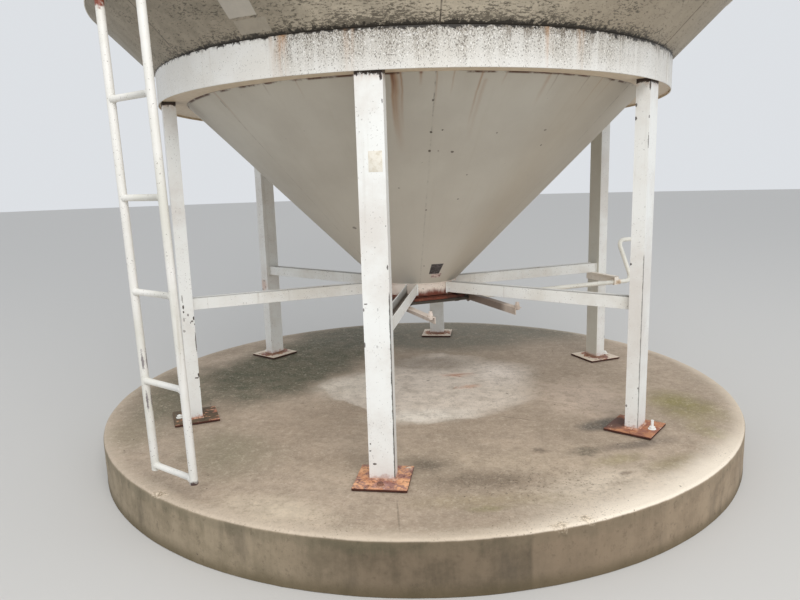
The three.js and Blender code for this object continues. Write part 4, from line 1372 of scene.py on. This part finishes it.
hub = turned(
    "outlet_hub_collar",
    [
        (HUB_RADIUS - HUB_THICKNESS, HUB_BOTTOM),
        (HUB_RADIUS - EDGE, HUB_BOTTOM),
        (HUB_RADIUS, HUB_BOTTOM + EDGE),
        (HUB_RADIUS, HUB_BOTTOM + 0.03),
        (HUB_RADIUS, HUB_TOP),
        (HUB_RADIUS - HUB_THICKNESS, HUB_TOP),
        (HUB_RADIUS - HUB_THICKNESS, HUB_BOTTOM),
    ],
    steps=126,
)
dressed(hub, hub_rust, "rusted_steel", "outlet_hub")
for name, height in (("hub_top_weld", HUB_TOP - 0.001), ("hub_foot_weld", HUB_BOTTOM + 0.002)):
    bead = level_bead(name, HUB_RADIUS + EDGE, height, 160, LEVEL_WELD)
    dressed(bead, hub_rust, "rusted_steel")


# Slide gate
# A square frame under the hub, two angle rails that run out between the front legs, and a
# plate that slides on them on racks. It is bare steel, rusted dark; the rails kept some paint.
GATE_ANGLE = FIRST_LEG + 30
GATE_OPENING = 0.188
GATE_HALF_LENGTH = 0.266
RAIL_TOP = PAD_TOP + 0.640
RAIL_INNER = 0.247
RAIL_THICKNESS = 0.005
RAIL_OUTER = 0.288
RAIL_BACK = -0.262
RAIL_FRONT = 0.825
RAIL_HEIGHT = 0.040
SPACER_WIDTH = 0.008
GATE_TOP = HUB_BOTTOM - AIR
GATE_BOTTOM = GATE_TOP - 0.005
SHAFT_OUT = 0.260
SHAFT_HEIGHT = PAD_TOP + 0.616
BEARING_HALF = 0.030
BEARING_TOP = PAD_TOP + 0.634
STOP_IN = 0.015
STOP_SIDE_IN = 0.018
STOP_ACROSS = 0.026
STOP_RADIUS = 0.010
STOP_HEIGHT = 0.030
STOP_NUT = 0.018
STOP_HEAD = 0.009
SHEET_EDGE = 0.0012
FINE_EDGE = 0.0008
RACK_SPREAD = 0.165

gate_rust = new_material("gate_rust")
rust = placed(rust_group, Fresh=(118, 62, 44), Old=(54, 34, 27), Grain=14.0)
dust = span(noise(place, 22.0, 6), 0.56, 0.72, 0.0, 0.5)
color = blend(dust, rust["Color"], (150, 128, 104))
surfaced(color, 0.85, rust["Height"], 0.001)

rail_paint = new_material("rail_paint")
coat = placed(
    paint_group, Paint=(218, 206, 196), Faded=(184, 168, 154), Wear=0.35, Chips=0.42, Runs=0.5
)
radius, angle, level = round_axis()
# Painted shade: the rails are darkened near the hub, where they lie under the hopper
shade_end = span(parted(place)["X"], 0.15, 0.3, 0.48, 0.7)
inner = span(radius - shade_end, 0.08, 0.0, 0.0, 0.85)
inner = inner * span(level, 1.2, 1.1)
color = blend(inner, coat["Color"], (104, 86, 74))
coated(color, coat)

gate_frame = block(
    "gate_frame_plate",
    (-GATE_HALF_LENGTH, -RAIL_OUTER, GATE_BOTTOM),
    (GATE_HALF_LENGTH, RAIL_OUTER, GATE_TOP),
)
bpy.ops.object.mode_set(mode="EDIT")
for at, along in ((-GATE_OPENING, 0), (GATE_OPENING, 0), (-GATE_OPENING, 1), (GATE_OPENING, 1)):
    bpy.ops.mesh.select_all(action="SELECT")
    normal = (0, 1, 0) if along else (1, 0, 0)
    bpy.ops.mesh.bisect(plane_co=Vector(normal) * at, plane_no=normal)


def over_opening(face):
    middle = face.calc_center_median()
    return abs(face.normal.z) > 0.9 and max(abs(middle.x), abs(middle.y)) < GATE_OPENING


chosen(gate_frame, "faces", over_opening)
bpy.ops.mesh.bridge_edge_loops()
tidied()
rounded(gate_frame, SHEET_EDGE, segments=2)
turned_to(gate_frame, GATE_ANGLE)
dressed(gate_frame, gate_rust, "dark_steel", "gate_frame")


def bearing_plate(name, side):
    """A small plate on a rail's web that the shaft turns in, its lower end rounded."""
    inner, outer = sorted((side * (RAIL_INNER - RAIL_THICKNESS), side * (RAIL_INNER + SUNK)))
    corners = [(SHAFT_OUT + BEARING_HALF, BEARING_TOP), (SHAFT_OUT - BEARING_HALF, BEARING_TOP)]
    for k in range(13):
        turn = math.pi * k / 12
        low = SHAFT_HEIGHT + 0.004 - BEARING_HALF * math.sin(turn)
        corners.append((SHAFT_OUT - BEARING_HALF * math.cos(turn), low))
    outline = [(x, inner, z) for x, z in corners]
    piece = extruded(name, outline, (0, outer - inner, 0))
    return rounded(piece, FINE_EDGE, segments=2, sharper_than=50)


def rail_parts(side):
    """One rail: angle, spacer, bearing plate, and the stop bolt with its nut and head."""
    low, high = RAIL_TOP - RAIL_HEIGHT, RAIL_TOP
    shelf = RAIL_TOP - RAIL_THICKNESS
    web = RAIL_INNER + RAIL_THICKNESS
    section = [(RAIL_INNER, low), (web, low), (web, shelf), (RAIL_OUTER, shelf)]
    section += [(RAIL_OUTER, high), (RAIL_INNER, high)]
    corners = [(RAIL_BACK, side * y, z) for y, z in section[::side]]
    angle_bar = extruded("angle", corners, (RAIL_FRONT - RAIL_BACK, 0, 0))
    rounded(angle_bar, EDGE, segments=2)
    near, far = sorted((side * (RAIL_OUTER - SPACER_WIDTH), side * RAIL_OUTER))
    spacer_end = (GATE_HALF_LENGTH, far, GATE_BOTTOM - AIR)
    spacer = block("spacer", (RAIL_BACK, near, high), spacer_end)
    rounded(spacer, FINE_EDGE, segments=2)
    at = (RAIL_FRONT - STOP_IN, side * (RAIL_OUTER - STOP_SIDE_IN))
    nut = hexagon("stop_nut", STOP_ACROSS, high, high + STOP_NUT, at)
    bolt = rod("stop_bolt", STOP_RADIUS, shelf - STOP_HEAD - SUNK, high + STOP_HEIGHT, at)
    under = hexagon("stop_head", STOP_ACROSS, shelf - STOP_HEAD, shelf, at)
    return [angle_bar, spacer, bearing_plate("bearing", side), nut, bolt, under]


for side, name in ((-1, "left"), (1, "right")):
    rail = as_one(f"gate_rail_{name}_angle", *rail_parts(side))
    turned_to(rail, GATE_ANGLE)
    dressed(rail, rail_paint, "white_paint", f"gate_rail_{name}")

PLATE_LOW = RAIL_TOP + AIR
PLATE_HIGH = PLATE_LOW + 0.005
PLATE_BACK = -0.262
PLATE_FRONT = 0.290
PLATE_HALF = 0.275
LIP_HALF = 0.210
LIP_THICKNESS = 0.006
LIP_HEIGHT = 0.019
RACK_LOW = PLATE_LOW - 0.006
RACK_END = PLATE_FRONT - 0.007
RACK_WIDTH = 0.024
TOOTH_HEIGHT = 0.004
slide = block("slide", (PLATE_BACK, -PLATE_HALF, PLATE_LOW), (PLATE_FRONT, PLATE_HALF, PLATE_HIGH))
rounded(slide, SHEET_EDGE, segments=2)
lip = block(
    "lip",
    (PLATE_FRONT - LIP_THICKNESS, -LIP_HALF, PLATE_HIGH - LIP_HEIGHT),
    (PLATE_FRONT, LIP_HALF, PLATE_HIGH),
)
rounded(lip, SHEET_EDGE, segments=2)
plate_parts = [slide, lip]
# Each rack is a bar with sloping teeth, at the pinion's pitch
PINION_RADIUS = 0.0175
PINION_TEETH = 12
RACK_PITCH = FULL_TURN * PINION_RADIUS / PINION_TEETH
between = RACK_LOW + TOOTH_HEIGHT
teeth = int((PLATE_FRONT - PLATE_BACK) / RACK_PITCH) - 1
line = [(RACK_END, PLATE_LOW), (PLATE_BACK, PLATE_LOW), (PLATE_BACK, between)]
for tooth in range(teeth):
    x = PLATE_BACK + 0.002 + tooth * RACK_PITCH
    line += [(x, between), (x + 0.0018, RACK_LOW), (x + 0.0048, RACK_LOW), (x + 0.0066, between)]
line += [(RACK_END, between)]
for side in (-1, 1):
    y = side * RACK_SPREAD - RACK_WIDTH / 2
    plate_parts.append(extruded("rack", [(x, y, z) for x, z in line], (0, RACK_WIDTH, 0)))
gate_plate = turned_to(as_one("gate_plate_slide", *plate_parts), GATE_ANGLE)
dressed(gate_plate, gate_rust, "dark_steel", "gate_plate", body="slide_gate")


# Crank
# A steel pipe bent twice, painted white: the shaft with its two pinions under the gate, the
# arm, and the grip. Under the gate it is near black, rust and dirt with painted shade from the hub.
SHAFT_RADIUS = 0.0150
SHAFT_START = -0.268
CRANK_PLANE = 1.562
CRANK_LENGTH = 0.318
CRANK_LEAN = math.radians(-29.5)
CRANK_BEND = 0.055
GRIP_LENGTH = 0.190
GRIP_CHAMFER = 0.003
PINION_WIDTH = 0.030
TOOTH_FOOT = 0.0140
TOOTH = [(0.0, TOOTH_FOOT), (0.18, PINION_RADIUS), (0.42, PINION_RADIUS), (0.60, TOOTH_FOOT)]

crank_paint = new_material("crank_paint")
coat = placed(paint_group, Paint=(238, 236, 226), Wear=0.25, Chips=0.42, Runs=0.3)
radius, angle, level = round_axis()
# Under the gate the shaft is near black: rust and dirt, with painted shade under the hub
color = blend(span(radius, 0.44, 0.38, 0.0, 0.95), coat["Color"], (52, 43, 32))
coated(color, coat, 0.0005)

bpy.ops.object.select_all(action="DESELECT")
bpy.ops.mesh.primitive_circle_add(
    vertices=24,
    radius=SHAFT_RADIUS,
    fill_type="NOTHING",
    location=(SHAFT_OUT, SHAFT_START, SHAFT_HEIGHT),
    rotation=(math.pi / 2, 0, 0),
)
crank = settled("gate_crank_pipe")
bpy.ops.object.mode_set(mode="EDIT")
bpy.ops.mesh.select_all(action="SELECT")
arm_way = Vector((math.sin(CRANK_LEAN), 0, math.cos(CRANK_LEAN)))
hinge_way = arm_way.cross(Vector((0, 1, 0)))
straight = CRANK_PLANE - CRANK_BEND - SHAFT_START
SHAFT_PARTS = 6
for part in range(SHAFT_PARTS):
    step = (0, straight / SHAFT_PARTS, 0)
    bpy.ops.mesh.extrude_region_move(TRANSFORM_OT_translate={"value": step})
elbow = Vector((SHAFT_OUT, CRANK_PLANE - CRANK_BEND, SHAFT_HEIGHT)) + arm_way * CRANK_BEND
bpy.ops.mesh.spin(steps=8, angle=math.pi / 2, center=elbow, axis=hinge_way)
arm_run = arm_way * (CRANK_LENGTH - 2 * CRANK_BEND)
bpy.ops.mesh.extrude_region_move(TRANSFORM_OT_translate={"value": arm_run})
upper_elbow = elbow + arm_run + Vector((0, 2 * CRANK_BEND, 0))
bpy.ops.mesh.spin(steps=8, angle=-math.pi / 2, center=upper_elbow, axis=hinge_way)
for run in (GRIP_LENGTH - CRANK_BEND - GRIP_CHAMFER, GRIP_CHAMFER):
    bpy.ops.mesh.extrude_region_move(TRANSFORM_OT_translate={"value": (0, run, 0)})
bpy.ops.transform.resize(value=(0.8, 1, 0.8))
bpy.ops.mesh.edge_face_add()
chosen(crank, "verts", lambda vertex: vertex.co.y < SHAFT_START + 0.0001)
bpy.ops.mesh.edge_face_add()
tidied(50)


def pinion(y):
    """A small gear with twelve teeth on the shaft."""
    line = []
    for tooth in range(PINION_TEETH):
        for share, radius in TOOTH:
            turn = (tooth + share) * FULL_TURN / PINION_TEETH
            up = radius * math.sin(turn)
            line.append((SHAFT_OUT + radius * math.cos(turn), y, SHAFT_HEIGHT + up))
    return extruded("pinion", line, (0, PINION_WIDTH, 0), smooth_below=20)


crank = as_one(
    "gate_crank_pipe",
    crank,
    pinion(-RACK_SPREAD - PINION_WIDTH / 2),
    pinion(RACK_SPREAD - PINION_WIDTH / 2),
)
turned_to(crank, GATE_ANGLE)
dressed(crank, crank_paint, "white_paint", "gate_crank", body="crank")


# Crank bracket
# A short channel welded to the back of the third leg, under the spoke, with a bush at its end
# that the crank's shaft turns in. It is painted white, and yellow rust has run from the bush.
BRACKET_BACK = LEG_CIRCLE - LEG_DEPTH / 2 - AIR
BRACKET_FRONT = BRACKET_BACK - 0.037
BRACKET_THICKNESS = 0.005
BRACKET_TOP = SPOKE_BOTTOM - AIR
BRACKET_BOTTOM = BRACKET_TOP - 0.060
BRACKET_START = -0.070
BRACKET_END = 0.284
BUSH_RADIUS = 0.020
BUSH_LENGTH = 0.056

bracket_paint = new_material("bracket_paint")
coat = placed(
    paint_group, Paint=(248, 242, 232), Faded=(232, 222, 208), Wear=0.25, Chips=0.4, Runs=0.5
)
bush_at = (SHAFT_OUT, BRACKET_BACK, SHAFT_HEIGHT)
bush_at = Matrix.Rotation(math.radians(GATE_ANGLE), 3, "Z") @ Vector(bush_at)
rusty = stain(bush_at, (0.05, 0.05, 0.03), 0, 0.7, 0.3, 60.0) * 0.8
color = blend(rusty, coat["Color"], (178, 138, 84))
coated(color, coat)

web = BRACKET_BACK - BRACKET_THICKNESS
shelf = BRACKET_TOP - BRACKET_THICKNESS
section = [(BRACKET_BACK, BRACKET_BOTTOM), (BRACKET_BACK, BRACKET_TOP), (BRACKET_FRONT, BRACKET_TOP)]
section += [(BRACKET_FRONT, shelf), (web, shelf), (web, BRACKET_BOTTOM)]
angle_iron = extruded(
    "angle_iron",
    [(BRACKET_START, y, z) for y, z in section],
    (BRACKET_END - BRACKET_START, 0, 0),
)
rounded(angle_iron, SHEET_EDGE, segments=2)
end_plate = block(
    "end_plate",
    (BRACKET_END - BRACKET_THICKNESS, BRACKET_FRONT, BRACKET_BOTTOM),
    (BRACKET_END, BRACKET_BACK, BRACKET_TOP),
)
rounded(end_plate, SHEET_EDGE, segments=2)
bush = rod("bush", BUSH_RADIUS, -BUSH_LENGTH / 2, BUSH_LENGTH / 2, sides=32)
bush.rotation_euler.x = math.pi / 2
bush.location = (SHAFT_OUT, BRACKET_BACK - 0.0025, SHAFT_HEIGHT)
settled()
bracket = turned_to(as_one("crank_bracket_channel", angle_iron, end_plate, bush), GATE_ANGLE)
dressed(bracket, bracket_paint, "white_paint", "crank_bracket")


# Ladder
# Two lengths of pipe ladder, painted white. The upper is held off the wall by three brackets;
# the lower hangs from it by sleeves over the rails' ends and leans out a little.
LADDER_ANGLE = -124.3
LADDER_FOOT = 1.940
LADDER_LEAN_OUT = 0.0137
LADDER_LEAN_SIDE = -0.0101
LADDER_HALF = 0.1375
LADDER_BOTTOM = PAD_TOP + 0.102
LADDER_JOINT = PAD_TOP + 2.122
LADDER_TOP = PAD_TOP + 5.920
LADDER_RAIL = 0.018
RUNG = 0.014
RUNG_STEP = 0.400
FIRST_RUNG = 0.024
SLEEVE = 0.030
SLEEVE_LENGTH = 0.090

ladder_paint = new_material("ladder_paint")
ends = span(parted(place)["Z"], 0.55, 0.3, 0.12, 0.4)
coat = placed(paint_group, Paint=(234, 232, 227), Wear=ends, Chips=0.42, Runs=0.3)
color = coat["Color"]
# Rust at the sleeves' ends and the right rail's foot, and scuffs low on the left rail
drawn_at = drawn_place()
# Across, up from the foot, half width, half height, colour
LADDER_MARKS = [
    (-0.1375, 2.005, 0.05, 0.045, (126, 62, 42)),
    (-0.1530, 1.940, 0.008, 0.030, (150, 84, 56)),
    (0.1230, 1.813, 0.014, 0.030, (150, 84, 56)),
    (0.1230, 1.735, 0.012, 0.022, (196, 150, 122)),
    (0.1375, 1.985, 0.05, 0.030, (172, 112, 84)),
    (0.1480, 0.002, 0.020, 0.024, (74, 54, 50)),
    (-0.1530, 0.440, 0.004, 0.060, (140, 134, 134)),
    (-0.1510, 0.300, 0.004, 0.050, (126, 118, 118)),
    (-0.1235, 0.520, 0.004, 0.060, (140, 134, 134)),
    (-0.1235, 0.330, 0.004, 0.060, (126, 118, 118)),
]
for across, up, half_width, half_height, tone in LADDER_MARKS:
    middle = (0.0, across, LADDER_BOTTOM + up)
    mark = stain(middle, (0.05, half_width, half_height), 0, 0.6, 0.35, 70.0, at=drawn_at)
    color = blend(mark, color, tone)
coated(color, coat)


def rung_at(height):
    """One rung, its ends flattened into welds round the rails."""
    bpy.ops.object.select_all(action="DESELECT")
    bpy.ops.mesh.primitive_cylinder_add(
        vertices=20, radius=RUNG, depth=2 * LADDER_HALF, rotation=(math.pi / 2, 0, 0)
    )
    bpy.context.object.location = (0, 0, height)
    piece = settled()
    bpy.ops.object.mode_set(mode="EDIT")
    reach = LADDER_HALF - LADDER_RAIL
    for y in (-reach - 0.001, -reach + 0.004, reach - 0.004, reach + 0.001):
        bpy.ops.mesh.select_all(action="SELECT")
        bpy.ops.mesh.bisect(plane_co=(0, y, 0), plane_no=(0, 1, 0))
    edit = bmesh.from_edit_mesh(piece.data)
    for vertex in edit.verts:
        if abs(abs(vertex.co.y) - reach - 0.001) < 0.0005:
            off = Vector((vertex.co.x, 0, vertex.co.z - height))
            vertex.co += off * 0.35
    bmesh.update_edit_mesh(piece.data)
    tidied(60)
    return piece


def ladder_length(name, bottom, top):
    """Two rails and their rungs, standing over the origin."""
    rails = [rod("rail", LADDER_RAIL, bottom, top, (0, y), 28) for y in (-LADDER_HALF, LADDER_HALF)]
    count = math.ceil((top - bottom - 2 * FIRST_RUNG) / RUNG_STEP)
    rungs = [rung_at(bottom + FIRST_RUNG + RUNG_STEP * k) for k in range(count)]
    return as_one(name, *rails, *rungs)


lower = ladder_length("ladder_lower_length", LADDER_BOTTOM, LADDER_JOINT - AIR)
remember_place(lower)
for vertex in lower.data.vertices:
    up = vertex.co.z - LADDER_BOTTOM
    vertex.co.x += LADDER_FOOT + LADDER_LEAN_OUT * up
    vertex.co.y += LADDER_LEAN_SIDE * up
turned_to(lower, LADDER_ANGLE)
dressed(lower, ladder_paint, "white_paint", "ladder_lower")

UPPER_RADIUS = LADDER_FOOT + LADDER_LEAN_OUT * (LADDER_JOINT - LADDER_BOTTOM)
UPPER_SIDE = LADDER_LEAN_SIDE * (LADDER_JOINT - LADDER_BOTTOM)
sleeve_parts = [
    rod("sleeve", SLEEVE, LADDER_JOINT, LADDER_JOINT + SLEEVE_LENGTH, (0, y), 32)
    for y in (-LADDER_HALF, LADDER_HALF)
]
upper = as_one(
    "ladder_upper_length", ladder_length("rails", LADDER_JOINT, LADDER_TOP), *sleeve_parts
)
for vertex in upper.data.vertices:
    vertex.co.x += UPPER_RADIUS
    vertex.co.y += UPPER_SIDE
turned_to(upper, LADDER_ANGLE)
dressed(upper, ladder_paint, "white_paint", "ladder_upper")

BRACKET_HEIGHTS = [2.440, 4.125, 5.810]
STRAP_HALF = 0.025
STRAP_THICKNESS = 0.006
HEAD_IN = 0.07
HEAD_ACROSS = 0.019
HEAD_HEIGHT = 0.008
wall = WALL_RADIUS + AIR
strap_face = wall + STRAP_THICKNESS
left, right = UPPER_SIDE - LADDER_HALF, UPPER_SIDE + LADDER_HALF
arm_end = UPPER_RADIUS - LADDER_RAIL - AIR
for i, middle in enumerate(BRACKET_HEIGHTS):
    low, high = PAD_TOP + middle - STRAP_HALF, PAD_TOP + middle + STRAP_HALF
    parts = [rounded(block("strap", (wall, left, low), (strap_face, right, high)), EDGE, 2)]
    for y in (left, right):
        near, far = y - STRAP_THICKNESS / 2, y + STRAP_THICKNESS / 2
        parts.append(rounded(block("arm", (wall, near, low), (arm_end, far, high)), EDGE, 2))
    for y in (left + HEAD_IN, right - HEAD_IN):
        head = hexagon("head", HEAD_ACROSS, 0.0, HEAD_HEIGHT)
        head.rotation_euler.y = math.pi / 2
        head.location = (strap_face, y, PAD_TOP + middle)
        parts.append(settled())
    holder = turned_to(as_one(f"ladder_bracket_{i + 1}_strap", *parts), LADDER_ANGLE)
    dressed(holder, ladder_paint, "white_paint", f"ladder_bracket_{i + 1}")


# Wall
# Two courses of three rolled sheets, butt welded, the upright seams half a sheet apart. The
# paint has faded, with dirt runs from the eave and mildew low down.
WALL_THICKNESS = 0.004
COURSE_HEIGHT = 1.829
WALL_TOP = WALL_BOTTOM + 2 * (COURSE_HEIGHT + AIR)
SHEET_TURN = 120
SHEET_STEPS = 84

# Mildew: black specks that crowd together where the amount is high
mildew_group, come, go = new_group(
    "mildew",
    {"Place": ("Vector", None), "Amount": ("Float", 0.5), "Grain": ("Float", 60.0)},
    {"Mask": "Float"},
)
fine = noise(come["Place"], come["Grain"], 7, 0.72)
patches = noise(come["Place"], come["Grain"] * 0.12, 4)
grown = fine * 0.72 + patches * 0.28
limit = 0.8 - come["Amount"] * 0.34
fill(go, {"Mask": span(grown - limit, 0.0, 0.045)})

wall_paint = new_material("wall_paint")
radius, angle, level = round_axis()
direction = vector("NORMALIZE", stretched(place, (1.0, 1.0, 0.0)))
tilt = put("CombineXYZ", {2: level * 0.35})
run_place = vector("ADD", stretched(direction, (9.0, 9.0, 0.0)), tilt)
coat = placed(
    paint_group,
    Paint=(226, 221, 209),
    Faded=(217, 211, 197),
    Dirt=(160, 144, 118),
    Chips=0.16,
    Runs=0.2,
)
wall_runs = noise(run_place, 4.0, 7, 0.7)
from_eave = span(level, WALL_TOP - 1.5, WALL_TOP, 0.25, 0.75)
color = blend(span(wall_runs, 0.46, 0.72) * from_eave, coat["Color"], (158, 146, 122))
low_down = span(level, WALL_BOTTOM + 0.9, WALL_BOTTOM, 0.16, 0.44)
specks = placed(mildew_group, Amount=low_down, Grain=40.0)["Mask"]
color = blend(specks * 0.75, color, (66, 60, 48))
coated(color, coat, 0.0008)

SHEET_RINGS = 12
for course in range(2):
    bottom = WALL_BOTTOM + AIR + course * (COURSE_HEIGHT + AIR)
    heights = [bottom + COURSE_HEIGHT * k / SHEET_RINGS for k in range(SHEET_RINGS + 1)]
    outside = [(WALL_RADIUS, z) for z in heights]
    inside = [(WALL_RADIUS - WALL_THICKNESS, z) for z in reversed(heights)]
    for i in range(3):
        start = FIRST_GORE + SHEET_TURN * i + course * SHEET_TURN / 2
        name = f"wall_{course + 1}_sheet_{i + 1}_rolled"
        steel = rolled_sheet(name, outside + inside, start, SHEET_TURN, SHEET_STEPS, SEAM_GAP)
        ripple = lumps(f"wall_{course}_{i}", 0.9)
        finished(steel, "DISPLACE", texture=ripple, strength=0.005, mid_level=0.5)
        dressed(steel, wall_paint, "wall_paint", f"wall_{course + 1}_sheet_{i + 1}")
        upright = [(WALL_RADIUS, 0, bottom + COURSE_HEIGHT * k / 160) for k in range(161)]
        seam = turned_to(seam_bead(f"wall_{course + 1}_seam_{i + 1}", upright, SEAM_THICKNESS), start)
        dressed(seam, wall_paint, "wall_paint")
for name, up in (("wall_foot_seam", 0.0), ("wall_middle_seam", COURSE_HEIGHT)):
    seam = level_bead(name, WALL_RADIUS, WALL_BOTTOM + up, 504, LEVEL_WELD)
    dressed(seam, wall_paint, "wall_paint")


# Roof
# Four cone panels with upright ribs folded along their edges and middles, bolted down over
# the wall's rim. They are painted like the wall.
ROOF_SLOPE = math.tan(math.radians(30))
ROOF_UPRIGHT = 0.004 / math.cos(math.radians(30))
FILL_RADIUS = 0.225
EAVE_RADIUS = WALL_RADIUS + 0.027
ROOF_FOOT = WALL_TOP + AIR
RIBS_PER_PANEL = 3


def roof_at(radius):
    return ROOF_FOOT + (WALL_RADIUS - radius) * ROOF_SLOPE


RIB_PROFILE = [(-0.022, 0), (-0.010, 0.020), (0.010, 0.020), (0.022, 0)]
RIB_LOW = EAVE_RADIUS - 0.004
RIB_HIGH = FILL_RADIUS + 0.06
rib_base = roof_at(RIB_LOW) + ROOF_UPRIGHT - 0.002
rib_ends = [(RIB_LOW, y, rib_base + z) for y, z in RIB_PROFILE]
rib_run = (RIB_HIGH - RIB_LOW, 0, roof_at(RIB_HIGH) - roof_at(RIB_LOW))
for i in range(4):
    start = FIRST_GORE + 90 * i
    under = [FILL_RADIUS + (EAVE_RADIUS - FILL_RADIUS) * k / 16 for k in range(17)]
    outline = [(r, roof_at(r)) for r in under]
    outline += [(r, roof_at(r) + ROOF_UPRIGHT) for r in reversed(under)]
    parts = [rolled_sheet("panel", outline, start, 90, 63, SEAM_GAP)]
    for rib in range(RIBS_PER_PANEL):
        ridge = extruded("ridge", rib_ends, rib_run)
        chosen(ridge, "verts", lambda vertex: abs(vertex.co.x - RIB_HIGH) < 0.001)
        bpy.ops.transform.resize(value=(1, 0.35, 1))
        bpy.ops.object.mode_set(mode="OBJECT")
        rounded(ridge, 0.003, segments=3)
        parts.append(turned_to(ridge, start + 90 * (rib + 0.5) / RIBS_PER_PANEL))
    panel = as_one(f"roof_panel_{i + 1}_ribbed", *parts)
    dressed(panel, wall_paint, "wall_paint", f"roof_panel_{i + 1}")

COLLAR_OUTER = FILL_RADIUS - AIR
COLLAR_INNER = COLLAR_OUTER - 0.005
COLLAR_BOTTOM = roof_at(FILL_RADIUS) - 0.020
COLLAR_TOP = roof_at(FILL_RADIUS) + 0.090
collar = turned(
    "fill_collar_rolled",
    [
        (COLLAR_INNER, COLLAR_BOTTOM),
        (COLLAR_OUTER, COLLAR_BOTTOM),
        (COLLAR_OUTER, COLLAR_TOP - EDGE),
        (COLLAR_OUTER - EDGE, COLLAR_TOP),
        (COLLAR_INNER + EDGE, COLLAR_TOP),
        (COLLAR_INNER, COLLAR_TOP - EDGE),
        (COLLAR_INNER, COLLAR_BOTTOM),
    ],
    steps=126,
)
dressed(collar, rail_paint, "white_paint", "fill_collar")
weld_height = roof_at(FILL_RADIUS) + ROOF_UPRIGHT
collar_weld = level_bead("fill_collar_weld", FILL_RADIUS + 0.002, weld_height, 160, 0.004)
dressed(collar_weld, wall_paint, "wall_paint")

# The lid: a shallow pressed cone with a skirt and a handle
LID_THICKNESS = 0.004
SKIRT_GAP = 0.008
SKIRT_IN = COLLAR_OUTER + SKIRT_GAP
SKIRT_OUT = SKIRT_IN + LID_THICKNESS
SKIRT_HEIGHT = 0.034
LID_RISE = 0.044
LID_FLAT = 0.05
LID_CORNER = COLLAR_TOP + AIR - LID_RISE / SKIRT_IN * SKIRT_GAP
SKIRT_FOOT = LID_CORNER - SKIRT_HEIGHT
lid_shell = turned(
    "lid_shell",
    [
        (0, LID_CORNER + LID_RISE),
        (SKIRT_IN, LID_CORNER),
        (SKIRT_IN, SKIRT_FOOT),
        (SKIRT_OUT - EDGE, SKIRT_FOOT),
        (SKIRT_OUT, SKIRT_FOOT + EDGE),
        (SKIRT_OUT, LID_CORNER + EDGE),
        (SKIRT_OUT - 3 * EDGE, LID_CORNER + LID_THICKNESS),
        (LID_FLAT, LID_CORNER + LID_THICKNESS + LID_RISE * (1 - LID_FLAT / SKIRT_IN)),
        (0, LID_CORNER + LID_RISE + LID_THICKNESS),
    ],
    steps=126,
)
HANDLE_RADIUS = 0.045
HANDLE_OUT = 0.10
bpy.ops.object.select_all(action="DESELECT")
bpy.ops.mesh.primitive_torus_add(
    major_radius=HANDLE_RADIUS,
    minor_radius=0.005,
    major_segments=40,
    minor_segments=12,
    location=(0, -HANDLE_OUT, LID_CORNER + 0.030),
    rotation=(0, math.pi / 2, 0),
)
handle = settled()
bpy.ops.object.mode_set(mode="EDIT")
bpy.ops.mesh.select_all(action="SELECT")
bpy.ops.mesh.bisect(
    plane_co=(0, 0, LID_CORNER + 0.018), plane_no=(0, 0, 1), clear_inner=True, use_fill=True
)
tidied(60)
lid = as_one("fill_lid_pressed", lid_shell, handle)
dressed(lid, rail_paint, "white_paint", "fill_lid")


# Studio
# A plain pale floor, soft light from high in front, and the camera where the photograph
# was taken from: an eye-high point in front of the pad.
EYE = (0.0, -4.299, 1.618)
EYE_LENS = 29.5
EYE_PITCH = 0.1800
EYE_ROLL = -0.0292
EYE_YAW = -0.0264

floor_finish = bpy.data.materials.new("studio_floor")
floor_finish.use_nodes = True
floor_shader = floor_finish.node_tree.nodes["Principled BSDF"]
floor_shader.inputs["Base Color"].default_value = (0.62, 0.61, 0.59, 1)
floor_shader.inputs["Roughness"].default_value = 0.95
bpy.ops.object.select_all(action="DESELECT")
bpy.ops.mesh.primitive_circle_add(vertices=96, radius=60, fill_type="NGON", location=(0, 0, 0))
floor = bpy.context.object
floor.name = "studio_floor"
floor.data.materials.append(floor_finish)

sky = bpy.data.worlds.new("studio_sky")
bpy.context.scene.world = sky
sky.use_nodes = True
sky.node_tree.nodes["Background"].inputs["Color"].default_value = (0.93, 0.96, 1.0, 1)
sky.node_tree.nodes["Background"].inputs["Strength"].default_value = 0.78
bpy.ops.object.light_add(type="AREA", location=(1.8, -8.7, 8.5))
key_light = bpy.context.object
key_light.data.size = 6
key_light.data.energy = 690
key_light.data.color = (1.0, 0.98, 0.95)
key_way = Vector((0, 0, 1.4)) - key_light.location
key_light.rotation_euler = key_way.to_track_quat("-Z", "Y").to_euler()

bpy.ops.object.camera_add()
camera = bpy.context.object
camera.data.lens = EYE_LENS
camera.data.sensor_width = 36
look = Matrix.Rotation(-EYE_YAW, 4, "Z") @ Matrix.Rotation(math.pi / 2 - EYE_PITCH, 4, "X")
camera.matrix_world = Matrix.Translation(EYE) @ look @ Matrix.Rotation(EYE_ROLL, 4, "Z")
bpy.context.scene.camera = camera
bpy.context.scene.view_settings.view_transform = "Standard"
